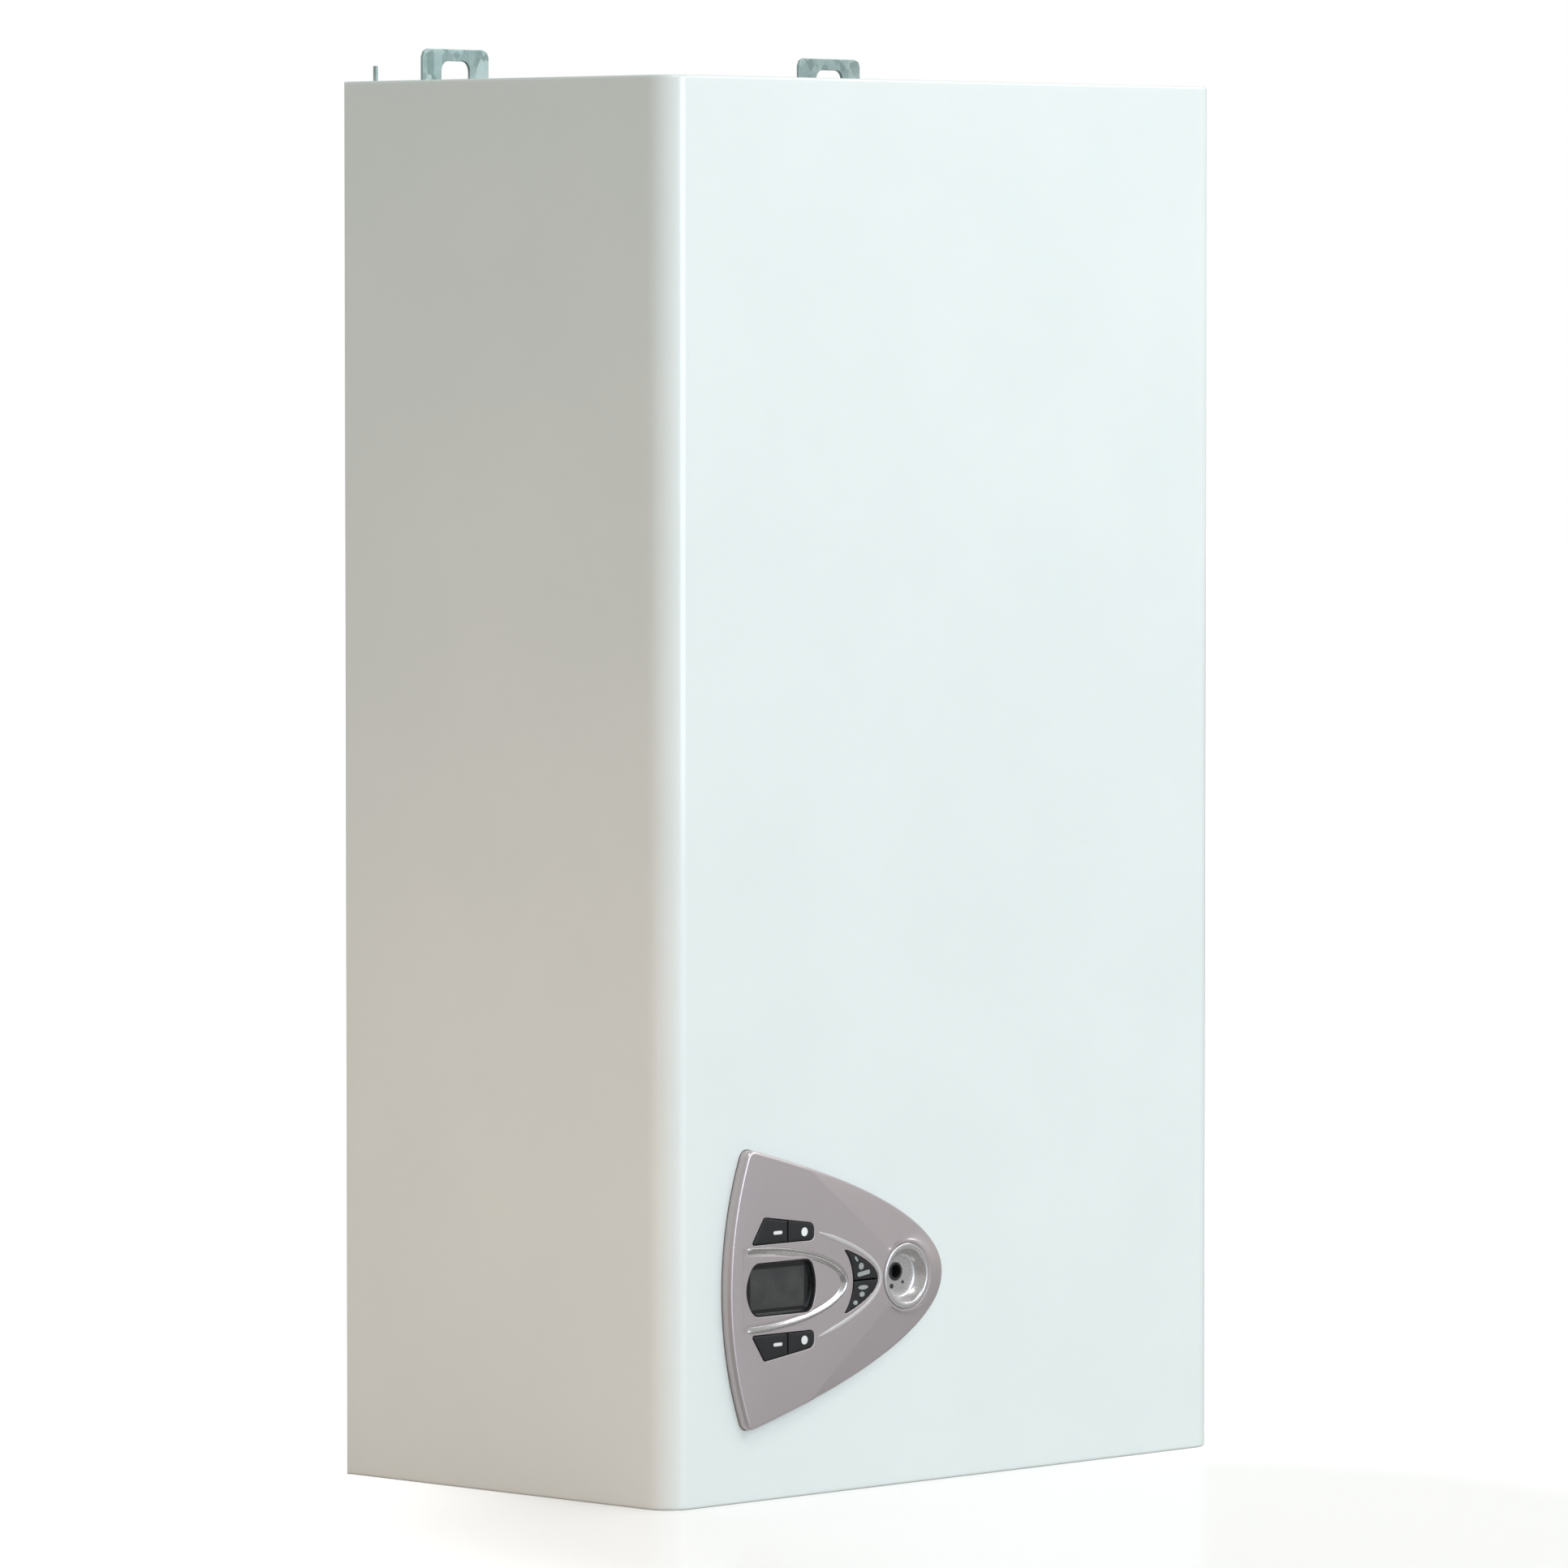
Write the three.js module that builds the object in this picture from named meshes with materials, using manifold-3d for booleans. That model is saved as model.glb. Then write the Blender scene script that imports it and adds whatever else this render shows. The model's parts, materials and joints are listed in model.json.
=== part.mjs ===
// A wall-hung combination boiler with a forced-draught sealed chamber, as it comes apart on a
// bench. Millimetres; X to the right, Y back to the wall, Z up. The origin is under the middle of
// the whole boiler, at the level of the casing's bottom edge.
import * as THREE from "three";
import { mergeVertices } from "three/addons/utils/BufferGeometryUtils.js";
import Module from "manifold-3d";

const wasm = await Module();
wasm.setup();

// ---------------------------------------------------------------- clearances
const GAP = 0.3; // between two pieces that seat on each other
const CUTOUT_GAP = 0.8; // round the control panel in the casing
const RUN_GAP = 0.5; // round what turns

// ---------------------------------------------------------------- casing
const CASE_WIDTH = 400;
const CASE_HEIGHT = 700;
const CASE_DEPTH = 230;
const CASE_SHEET = 1;
const CASE_BEND = 15;
const CASE_FLANGE = 15;
const CASE_RETURN = 10;

// ---------------------------------------------------------------- control panel
const PANEL_PROUD = 6;
const PANEL_LAND = 5.4; // height of the flat face over the casing
const PANEL_NOSE = 192; // nose of the panel, from the casing's left side
const PANEL_AXIS = 105; // height of the panel's axis
const PANEL_LENGTH = 155.4;
const PANEL_HALF_HEIGHT = 70;
const PANEL_TIP = 141.3; // from the nose to the two left tips
const PANEL_TIP_CUT = 4.5;
const PANEL_WALL = 2;
const PANEL_EDGE = 2.6; // height of the upright edge over the casing, at the two tips
const BORDER_NARROW = 2.2;
const BORDER_START = 94.5; // from the nose, where it starts to widen
const BORDER_SHARE = 0.6; // how much of the border's run is straight, before it rounds the bowl
const BOWL_SKIRT = 0.9; // of the flat face round the bowl
const EDGE_NOSE = 0.6; // height of the upright edge at the nose
const DISPLAY_HALF_HEIGHT = 13;
const DISPLAY_LEFT = 137.6;
const DISPLAY_RIGHT = 98.1;
const DISPLAY_BULGE_LEFT = 5.7;
const DISPLAY_BULGE_RIGHT = 3.7;
const DISPLAY_THICK = 2.2;
const DISPLAY_DEPTH = 1.8; // of the window behind the flat face
const TRIM_LEFT = 142.6; // open end of the U-shaped trim, from the nose
const TRIM_REACH = 71;
const TRIM_HALF_HEIGHT = 21;
const TRIM_WIDTH = 3.2;
const TRIM_CREST = 0.8; // width of its outer crest, from which it slopes inwards
const TRIM_SEAT = 1.2;
const RIDGE_TIP = 48.6;
const RIDGE_SPREAD = 0.066;
const RIDGE_HALF_HEIGHT = 26;
const RIDGE_WIDTH = 1.3;
const KEY_TRAVEL = 0.8;
const KEY_THICK = 3;
const KEY_FLANGE = 1;
const KEY_STEM = 2;
const KEY_LEFT = 139.6;
const KEY_SHOULDER = 131;
const KEY_RIGHT = 96.2;
const KEY_SPLIT = 114.6;
const KEY_LOW = 22.5;
const KEY_HIGH = 35.3;
const KEY_END = 30.5;
const CRESCENT_TIP = 50.6;
const CRESCENT_SPREAD = 0.093;
const CRESCENT_HALF_HEIGHT = 15.4;
const CRESCENT_HOLLOW = 67.8;
const CRESCENT_RADIUS = 23.5;
const BOWL_CENTRE = 29.6;
const BOWL_RADIUS = 16.5;
const BOWL_RIM = 3;
const BOWL_DEPTH = 5.4;
const BOWL_FLOOR_RADIUS = 9.5;
const BOWL_FLOOR = 1.2;
const SOCKET_LEFT = 3.3; // from the bowl's centre
const SOCKET_UP = 2;
const SOCKET_BORE = 3.6;
const SOCKET_WALL = 0.9;
const SOCKET_DEPTH = 7;

// ---------------------------------------------------------------- control box and board
const BOX_FRONT_ROOM = 6; // between the casing's sheet and the box
const BOX_MARGIN = 14; // of the box round the panel
const BOX_DEPTH = 56;
const BOX_WALL = 2;
const BOX_LEDGE = 6;
const BOARD_ROOM = 7; // from the box's front wall to the board
const BOARD_THICK = 1.6;
const BOARD_EDGE = 10;
const POST_RADIUS = 3;
const SWITCH_SIZE = 5;
const SWITCH_HEIGHT = 4;

// ---------------------------------------------------------------- back frame and lugs
const FRAME_DEPTH = 12;
const FRAME_SHEET = 1.5;
const FRAME_SIDE_ROOM = 16; // from the casing's side to the frame's side
const FRAME_LIP = 20;
const FRAME_TOP_ROOM = 10; // from the frame's top to the casing's
const FRAME_WINDOW_ROOM = 74; // from the windows to the frame's sides
const FRAME_RAIL_LOW = 60;
const FRAME_RAIL_MIDDLE = 240;
const FRAME_RAIL_HIGH = 300;
const FRAME_RAIL_TOP = 130; // height of the top rail
const TONGUE_RISE = 8; // over the casing
const TONGUE_WIDTH = 2.3;
const TONGUE_INSET = 4.9;
const LUG_WIDTH = 46;
const LUG_THICK = 2;
const LUG_RISE = 17.5; // over the casing
const LUG_HEIGHT = 97.5;
const LUG_CENTRE = 12.5; // middle of the pair, right of the boiler's middle
const LUG_INSET = 48; // of the lugs' spacing from the frame's width, at each side
const LUG_CORNER = 4;
const LUG_JOGGLE = 6;
const HOOK_WIDTH = 20;
const HOOK_WEB = 6;
const HOOK_HEIGHT = 14;
const HOOK_CORNER = 5;

// ---------------------------------------------------------------- sealed chamber
const CHAMBER_FLOOR = 250;
const CHAMBER_TOP_ROOM = 2; // under the casing's top edge
const CHAMBER_FRONT_ROOM = 15; // behind the casing's front sheet
const CHAMBER_SHEET = 1;
const CHAMBER_LIP = 10;
const GASKET_THICK = 2;
const GASKET_WIDTH = 7;
const COVER_SHEET = 1;
const COVER_EDGE = 1;
const COVER_FIELD = 36;
const COVER_EMBOSS = 3;
const SIGHT_RADIUS = 15;
const SIGHT_RIM = 3.5;
const SIGHT_HEIGHT = 118; // over the chamber's floor
const SIGHT_THICK = 3;

// ---------------------------------------------------------------- combustion unit
const UNIT_DEPTH = 180;
const UNIT_LEFT_ROOM = 42.7; // for the risers, between the vessel and the unit
const UNIT_RIGHT_ROOM = 28.7; // for the risers, between the unit and the chamber's side
const UNIT_SHEET = 1;
const BURNER_ROOM = 22; // from the chamber's floor to the burner
const BURNER_HEIGHT = 58;
const BURNER_BLADES = 11;
const BLADE_END_ROOM = 17; // from the unit's side to the first blade's middle
const BLADE_WIDTH = 10;
const BLADE_NECK = 4;
const BLADE_FRONT_ROOM = 30;
const BURNER_RAIL = 6;
const MANIFOLD_RADIUS = 7;
const MANIFOLD_ROOM = 4; // between the manifold's jets and the blades
const JET_RADIUS = 3.5;
const JET_LENGTH = 9;
const LINING_THICK = 12;
const LINING_ROOM = 12;
const ELECTRODE_RADIUS = 1.3;
const ELECTRODE_BODY = 3.5;
const ELECTRODE_SPACING = 28;
const ELECTRODE_OFFSET = 64; // right of the unit's middle
const ELECTRODE_HOLDER = 40;
const EXCHANGER_HEIGHT = 70;
const FIN_COUNT = 18;
const FIN_THICK = 1.2;
const FIN_MARGIN = 6;
const WATER_TUBES = 4;
const WATER_TUBE_WIDTH = 13;
const WATER_TUBE_HEIGHT = 20;
const TUBE_PITCH = 36;
const BEND_REACH = 11;
const HOOD_PAN = 14;
const HOOD_SHOULDER = 6;
const HOOD_RISER_HALF = 40;

// ---------------------------------------------------------------- fan
const FAN_RADIUS_WIDE = 63;
const FAN_RADIUS_TIGHT = 47;
const FAN_WIDTH = 64;
const FAN_SHEET = 1.2;
const FAN_OVER_PAN = 10;
const FAN_NECK = 78; // from the shaft up to the neck's end
const FAN_INLET = 28;
const FAN_STEPS = 18;
const IMPELLER_RADIUS = 36;
const IMPELLER_WIDTH = 44;
const IMPELLER_BLADES = 16;
const IMPELLER_PLATE = 1.5;
const BLADE_DEPTH = 8;
const BLADE_LEAN = 0.6;
const SHAFT_RADIUS = 2.5;
const SHAFT_LENGTH = 34;
const HUB_RADIUS = 7;
const MOTOR_STACK = 70;
const MOTOR_STACK_LENGTH = 22;
const MOTOR_BELL = 24;
const MOTOR_BELL_LENGTH = 12;
const MOTOR_POST = 8;

// ---------------------------------------------------------------- flue and air
const FLUE_BORE = 28.8;
const FLUE_WALL = 1.2;
const FLUE_FLANGE = 50;
const FLUE_FLANGE_THICK = 1.4;
const FLUE_DIP = 12; // of the collar into the fan's neck
const FLUE_INSET = 90; // of the flue's axis from the wall
const AIR_RADIUS = 40;
const AIR_PLATE_RADIUS = 47;
const AIR_PLATE_THICK = 1.2;
const AIR_EMBOSS = 2;
const SWITCH_RADIUS = 32;
const SWITCH_DEPTH = 30;
const SWITCH_DROP = 70;
const SWITCH_FRONT = 52;

// ---------------------------------------------------------------- expansion vessel
const VESSEL_THICK = 74;
const VESSEL_FOOT_ROOM = 44; // from the chamber's floor to the vessel
const VESSEL_WALL = 1.6;
const VESSEL_BORE = 4;
const VESSEL_DEPTH = 176;
const VESSEL_CORNER = 50;
const VESSEL_ROUND = 16;
const VESSEL_SEAM = 5;
const VESSEL_SEAM_THICK = 3;
const VESSEL_STUB = 8;
const VESSEL_TOP_ROOM = 8;
const HOSE_INSET = 24; // from the vessel's back to its stub

// ---------------------------------------------------------------- water and gas side
const PIPE_PITCH = 65;
const PIPE_Y = 62;
const BRACKET_LEVEL = 26;
const BRACKET_SHEET = 2;
const BRACKET_INSET = 24; // from the frame's side
const BRACKET_REAR_FLANGE = 44;
const BRACKET_FRONT_FLANGE = 34;
const UNION_END = 6; // lowest level of the union tails
const LARGE_TAIL = 13.2;
const LARGE_BORE = 10;
const LARGE_HEX = 18;
const SMALL_TAIL = 10.5;
const SMALL_BORE = 7.5;
const SMALL_HEX = 15;
const HEX_HEIGHT = 8;
const NECK_HEIGHT = 14;
const BORE_DEPTH = 30;
const BLOCK_HEIGHT = 58;
const BLOCK_RADIUS = 15;
const BLOCK_CROSS = 11;
const LARGE_PIPE = 9;
const SMALL_PIPE = 7;
const GAS_PIPE = 8;
const PIPE_BEND = 22;
const PIPE_HOLE_GAP = 0.4;
const FLOW_RISE_ROOM = 21; // from the unit's side to the risers on its left
const RETURN_RISE_ROOM = 15; // and to those on its right
const PUMP_LEVEL = 170;
const PUMP_RADIUS = 42;
const PUMP_OFFSET = 31;
const PUMP_WIDTH = 36;
const PUMP_WALL = 5;
const PUMP_INLET = 24;
const PUMP_INLET_ROOM = 3;
const PUMP_MOTOR_RADIUS = 38;
const PUMP_MOTOR_LENGTH = 74;
const PUMP_ROTOR = 27;
const PUMP_ROTOR_WIDTH = 14;
const PUMP_SHAFT = 5;
const PUMP_SHAFT_LENGTH = 40;
const VENT_RADIUS = 9;
const VENT_HEIGHT = 26;
const GAS_BODY = 56;
const GAS_BODY_HEIGHT = 62;
const GAS_BODY_LEVEL = 96;
const COIL_RADIUS = 13;
const COIL_HEIGHT = 22;
const SAFETY_RADIUS = 11;
const SAFETY_LENGTH = 26;
const SAFETY_KNOB = 15;
const SAFETY_KNOB_LENGTH = 14;
const FILL_ARM = 32;
const FILL_RADIUS = 7;
const FILL_KNOB = 11;
const FILL_KNOB_LENGTH = 16;
const KNOB_LOBES = 8;
const GAUGE_X = 33;
const GAUGE_Y = 20;
const GAUGE_RADIUS = 19;
const GAUGE_DEPTH = 22;
const GAUGE_WALL = 1.5;
const GAUGE_GLASS = 1.5;
const GAUGE_ROOM = 4; // from the glass to the dial
const NEEDLE_LENGTH = 13;
const NEEDLE_HUB = 2.4;
const NEEDLE_THICK = 0.8;
const NEEDLE_REST = 135; // angle at no pressure, from the right
const GLAND_X = 104;
const GLAND_Y = 10;
const GLAND_RADIUS = 9;
const BEND_ROOM = 0.5; // by which a pipe's bend is larger than its radius
const HOSE_RADIUS = 5;
const HOSE_BEND = 30;

// ---------------------------------------------------------------- places worked out from these
const WALL_Y = (CASE_DEPTH + PANEL_PROUD) / 2;
const FACE_Y = WALL_Y - CASE_DEPTH;
const SHEET_Y = FACE_Y + CASE_SHEET;
const HALF_WIDTH = CASE_WIDTH / 2;
const FRAME_HALF = HALF_WIDTH - FRAME_SIDE_ROOM;
const FRAME_FRONT = WALL_Y - FRAME_DEPTH;
const CHAMBER_BACK = FRAME_FRONT - GAP;
const CHAMBER_INNER_BACK = CHAMBER_BACK - CHAMBER_SHEET;
const CHAMBER_FRONT = SHEET_Y + CHAMBER_FRONT_ROOM;
const CHAMBER_TOP = CASE_HEIGHT - CHAMBER_TOP_ROOM;
const FLOOR_Z = CHAMBER_FLOOR + CHAMBER_SHEET;
const GASKET_FRONT = CHAMBER_FRONT - GAP - GASKET_THICK;
const COVER_BACK = GASKET_FRONT - GAP;
const FLUE_Y = WALL_Y - FLUE_INSET;
const NECK_TOP = CHAMBER_TOP - CHAMBER_SHEET - FLUE_DIP / 2;
const VESSEL_LEFT = -FRAME_HALF + CHAMBER_SHEET + GAP;
const VESSEL_X = VESSEL_LEFT + VESSEL_THICK / 2;
const VESSEL_Z = CHAMBER_FLOOR + VESSEL_FOOT_ROOM;
const VESSEL_TOP = CHAMBER_TOP - CHAMBER_SHEET - VESSEL_TOP_ROOM;
const UNIT_BACK = CHAMBER_INNER_BACK - GAP;
const UNIT_FRONT = UNIT_BACK - UNIT_DEPTH;
const UNIT_LEFT = VESSEL_LEFT + VESSEL_THICK + UNIT_LEFT_ROOM;
const UNIT_RIGHT = FRAME_HALF - CHAMBER_SHEET - GAP - UNIT_RIGHT_ROOM;
const UNIT_WIDTH = UNIT_RIGHT - UNIT_LEFT;
const UNIT_X = (UNIT_LEFT + UNIT_RIGHT) / 2;
const BLADE_PITCH = (UNIT_WIDTH - 2 * BLADE_END_ROOM) / (BURNER_BLADES - 1);
const HOSE_Y = UNIT_BACK - HOSE_INSET;
const FAN_X = FAN_RADIUS_WIDE - FAN_WIDTH / 2;
const FAN_Z = NECK_TOP - FAN_NECK;
const FAN_BACK = FLUE_Y + FAN_WIDTH / 2;
const HOOD_Z = FAN_Z - (FAN_RADIUS_WIDE + FAN_RADIUS_TIGHT) / 2 - FAN_OVER_PAN - HOOD_PAN;
const EXCHANGER_Z = HOOD_Z - GAP - EXCHANGER_HEIGHT;
const BURNER_Z = FLOOR_Z + BURNER_ROOM;
const FIRE_Z = BURNER_Z + BURNER_HEIGHT + GAP;
const FIRE_TOP = EXCHANGER_Z - GAP;
const GAS_RISE_Y = UNIT_FRONT + BLADE_FRONT_ROOM - MANIFOLD_ROOM - JET_LENGTH;
const tubeY = (i) => (UNIT_FRONT + UNIT_BACK) / 2 + (i - (WATER_TUBES - 1) / 2) * TUBE_PITCH;
const FLOW_RISE_X = UNIT_LEFT - FLOW_RISE_ROOM;
const RETURN_RISE_X = UNIT_RIGHT + RETURN_RISE_ROOM;
const AIR_OFFSET = (FRAME_HALF + FLUE_FLANGE) / 2 - 2;
const LUG_SPACING = 2 * (FRAME_HALF - LUG_INSET);
const FRAME_TOP = CASE_HEIGHT - FRAME_TOP_ROOM;
const FRAME_WINDOW_HALF = FRAME_HALF - FRAME_WINDOW_ROOM;
const FRAME_WINDOW_TOP = FRAME_TOP - FRAME_RAIL_TOP;
const TONGUE_TOP = CASE_HEIGHT + TONGUE_RISE;
const LUG_TOP = CASE_HEIGHT + LUG_RISE;
const LUG_FOOT = LUG_TOP - LUG_HEIGHT;
const BRACKET_WIDTH = 2 * (FRAME_HALF - BRACKET_INSET);
const UNION_TOP = BRACKET_LEVEL + BRACKET_SHEET + GAP + HEX_HEIGHT + NECK_HEIGHT;
const BLOCK_Z = UNION_TOP + GAP;
const BLOCK_TOP = BLOCK_Z + BLOCK_HEIGHT;
const PUMP_X = RETURN_RISE_X - PUMP_OFFSET;
const PUMP_Y = FRAME_FRONT - GAP - PUMP_WIDTH / 2;
const PANEL_X = PANEL_NOSE - HALF_WIDTH;
const BOX_FRONT = SHEET_Y + BOX_FRONT_ROOM;
const BOX_BACK = BOX_FRONT + BOX_DEPTH;
const BOX_LEFT = PANEL_X - PANEL_LENGTH - BOX_MARGIN;
const BOX_RIGHT = PANEL_X + BOX_MARGIN;
const BOX_LOW = PANEL_AXIS - PANEL_HALF_HEIGHT - BOX_MARGIN;
const BOX_HIGH = PANEL_AXIS + PANEL_HALF_HEIGHT + BOX_MARGIN;
const BOARD_FRONT = BOX_FRONT + BOX_WALL + BOARD_ROOM;
const PANEL_FACE = -PANEL_LAND; // the panel's own frame has its origin on the casing's face
const PANEL_FRONT = -PANEL_PROUD;
const PANEL_REAR = BOX_FRONT - GAP - FACE_Y;
const SKIN_BACK = PANEL_FACE + PANEL_WALL;
const WINDOW_FRONT = PANEL_FACE + DISPLAY_DEPTH;
const X_AXIS = new THREE.Vector3(1, 0, 0);
const Y_AXIS = new THREE.Vector3(0, 1, 0);
const Z_AXIS = new THREE.Vector3(0, 0, 1);
const FORWARD = new THREE.Vector3(0, -1, 0);
const DOWN = new THREE.Vector3(0, 0, -1);

// ---------------------------------------------------------------- solids
// A closed geometry as a solid that can be joined and cut, with its faces outwards.
function solid(geometry) {
  const bare = new THREE.BufferGeometry();
  bare.setAttribute("position", geometry.getAttribute("position"));
  bare.setIndex(geometry.index);
  const merged = mergeVertices(bare, 1e-3);
  const triVerts = new Uint32Array(merged.index.array);
  const vertProperties = new Float32Array(merged.getAttribute("position").array);
  const made = new wasm.Manifold(new wasm.Mesh({ numProp: 3, vertProperties, triVerts }));
  if (made.volume() > 0) return made;
  for (let i = 0; i < triVerts.length; i += 3) triVerts.subarray(i, i + 3).reverse();
  return new wasm.Manifold(new wasm.Mesh({ numProp: 3, vertProperties, triVerts }));
}

const join = (...pieces) => pieces.reduce((whole, piece) => whole.add(piece));
const cut = (whole, ...cutters) => cutters.reduce((left, cutter) => left.subtract(cutter), whole);

function outline(points) {
  return new THREE.Shape(points.map(([u, v]) => new THREE.Vector2(u, v)));
}

function extruded(shape, depth, curveSegments) {
  return new THREE.ExtrudeGeometry(shape, { depth, bevelEnabled: false, curveSegments });
}

// A shape drawn in X and Z, from the front plane to the back plane.
function facing(shape, front, back, curveSegments = 6) {
  const geometry = extruded(shape, back - front, curveSegments);
  geometry.rotateX(Math.PI / 2).translate(0, back, 0);
  return solid(geometry);
}

// A shape drawn in X and Y, from one level up to another.
function upright(shape, low, high, curveSegments = 6) {
  return solid(extruded(shape, high - low, curveSegments).translate(0, 0, low));
}

// A shape drawn in Y and Z, from one side to the other.
function sideways(shape, left, right, curveSegments = 6) {
  const geometry = extruded(shape, right - left, curveSegments);
  geometry.applyMatrix4(new THREE.Matrix4().makeBasis(Y_AXIS, Z_AXIS, X_AXIS));
  return solid(geometry.translate(left, 0, 0));
}

function block(left, right, front, back, low, high) {
  const geometry = new THREE.BoxGeometry(right - left, back - front, high - low);
  geometry.translate((left + right) / 2, (front + back) / 2, (low + high) / 2);
  return solid(geometry);
}

// A profile of [radius, distance] turned about a line that starts at a place and runs one way.
function turned(profile, place, way, sides = 20) {
  const points = profile.map(([radius, along]) => new THREE.Vector2(radius, along));
  const geometry = new THREE.LatheGeometry(points, sides);
  geometry.applyQuaternion(new THREE.Quaternion().setFromUnitVectors(Y_AXIS, way));
  return solid(geometry.translate(...place));
}

function rod(radius, length, place, way, sides = 16) {
  return turned([[0, 0], [radius, 0], [radius, length], [0, length]], place, way, sides);
}

// A centre line of straight runs with a round bend at each corner; it has a station at the two
// ends of each bend and a few between them, and none along the straight runs.
class BentLine extends THREE.Curve {
  constructor(corners, bend, stations = 3) {
    super();
    const stops = corners.map((corner) => new THREE.Vector3(...corner));
    const first = stops[1].clone().sub(stops[0]).normalize();
    this.places = [stops[0]];
    this.ways = [first];
    for (let i = 1; i < stops.length - 1; i++) {
      const into = stops[i].clone().sub(stops[i - 1]).normalize();
      const out = stops[i + 1].clone().sub(stops[i]).normalize();
      const reach = bend * Math.tan(into.angleTo(out) / 2);
      const turn = into.angleTo(out);
      const side = out.clone().addScaledVector(into, -Math.cos(turn)).normalize();
      const centre = stops[i].clone().addScaledVector(into, -reach).addScaledVector(side, bend);
      for (let k = 0; k <= stations; k++) {
        const angle = (turn * k) / stations;
        const along = into.clone().multiplyScalar(bend * Math.sin(angle));
        this.places.push(centre.clone().add(along).addScaledVector(side, -bend * Math.cos(angle)));
        const way = into.clone().multiplyScalar(Math.cos(angle));
        this.ways.push(way.addScaledVector(side, Math.sin(angle)));
      }
    }
    this.places.push(stops.at(-1));
    this.ways.push(stops.at(-1).clone().sub(stops.at(-2)).normalize());
  }
  station(t) {
    return Math.round(t * (this.places.length - 1));
  }
  getPoint(t) {
    return this.places[this.station(t)].clone();
  }
  getPointAt(t) {
    return this.getPoint(t);
  }
  getTangent(t) {
    return this.ways[this.station(t)].clone();
  }
  getTangentAt(t) {
    return this.getTangent(t);
  }
}

function pipe(radius, corners, bend, sides = 10) {
  const extrudePath = new BentLine(corners, bend);
  const section = outline(ringPoints(radius, sides));
  const steps = extrudePath.places.length - 1;
  return solid(new THREE.ExtrudeGeometry(section, { steps, extrudePath, bevelEnabled: false }));
}

function ringPoints(radius, sides, u = 0, v = 0) {
  const turn = (2 * Math.PI) / sides;
  return Array.from({ length: sides }, (_, i) => [
    u + radius * Math.cos(i * turn),
    v + radius * Math.sin(i * turn),
  ]);
}

function disc(radius, sides = 20, u = 0, v = 0) {
  return outline(ringPoints(radius, sides, u, v));
}

// A rounded rectangle between two corners.
function roundedRectangle(left, right, low, high, radius) {
  const shape = new THREE.Shape();
  shape.moveTo(left + radius, low);
  shape.absarc(right - radius, low + radius, radius, -Math.PI / 2, 0);
  shape.absarc(right - radius, high - radius, radius, 0, Math.PI / 2);
  shape.absarc(left + radius, high - radius, radius, Math.PI / 2, Math.PI);
  shape.absarc(left + radius, low + radius, radius, Math.PI, 1.5 * Math.PI);
  return shape;
}

// A skin stretched over closed rings with the same number of points, capped at both ends. The
// rings are lists of [x, y, z], and `flat` gives the two coordinates that lie in a cap's plane.
function loft(rings, flat) {
  const count = rings[0].length;
  const positions = rings.flat(2);
  const index = [];
  for (let r = 0; r < rings.length - 1; r++) {
    for (let i = 0; i < count; i++) {
      const a = r * count + i;
      const b = r * count + ((i + 1) % count);
      index.push(a, b, b + count, a, b + count, a + count);
    }
  }
  const cap = (ring) => THREE.ShapeUtils.triangulateShape(ring.map((p) => new THREE.Vector2(...flat(p))), []);
  const last = (rings.length - 1) * count;
  const clockwise = (ring) => THREE.ShapeUtils.isClockWise(ring.map((p) => new THREE.Vector2(...flat(p))));
  const turn = clockwise(rings[0]);
  for (const [a, b, c] of cap(rings[0])) index.push(...(turn ? [a, b, c] : [a, c, b]));
  for (const [a, b, c] of cap(rings.at(-1))) {
    index.push(...(turn ? [last + a, last + c, last + b] : [last + a, last + b, last + c]));
  }
  const geometry = new THREE.BufferGeometry();
  geometry.setAttribute("position", new THREE.Float32BufferAttribute(positions, 3));
  geometry.setIndex(index);
  return solid(geometry);
}

// A closed outline moved inwards by a distance, which may vary along it; corners stay sharp.
function inset(points, distance) {
  const count = points.length;
  const normal = ([u0, v0], [u1, v1]) => {
    const length = Math.hypot(u1 - u0, v1 - v0);
    return [(v0 - v1) / length, (u1 - u0) / length];
  };
  return points.map(([u, v], i) => {
    const [a, b] = normal(points[(i + count - 1) % count], points[i]);
    const [c, d] = normal(points[i], points[(i + 1) % count]);
    const by = typeof distance === "function" ? distance(u, v) : distance;
    const reach = by / (1 + a * c + b * d);
    return [u + reach * (a + c), v + reach * (b + d)];
  });
}

// ---------------------------------------------------------------- materials
const paint = (color, roughness, metalness = 0) =>
  new THREE.MeshStandardMaterial({ color, roughness, metalness });
const WHITE_PAINT = paint(0xe9efee, 0.35);
const GALVANISED = paint(0x9fb3b2, 0.45, 0.7);
const SILVER = paint(0xa6a1a0, 0.4, 0.3);
const CHROME = paint(0xe4e4e6, 0.15, 0.9);
const SMOKED = paint(0x2c2c2e, 0.15);
const DARK_RUBBER = paint(0x2f2f31, 0.6);
const BLACK = paint(0x18181a, 0.5);
const COPPER = paint(0xb87048, 0.35, 0.9);
const BRASS = paint(0xc2a050, 0.35, 0.9);
const STEEL = paint(0xb8babc, 0.4, 0.8);
const CAST_ALLOY = paint(0xa9abad, 0.6, 0.6);
const FIBRE = paint(0xe8e2d4, 0.95);
const RED = paint(0xb8282a, 0.5);
const BLUE = paint(0x2858a8, 0.5);
const BOARD_GREEN = paint(0x1f6a3c, 0.5);
const GLASS = paint(0xdfe8ea, 0.05);
const GREY_PLASTIC = paint(0x8c8f92, 0.6);

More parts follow.
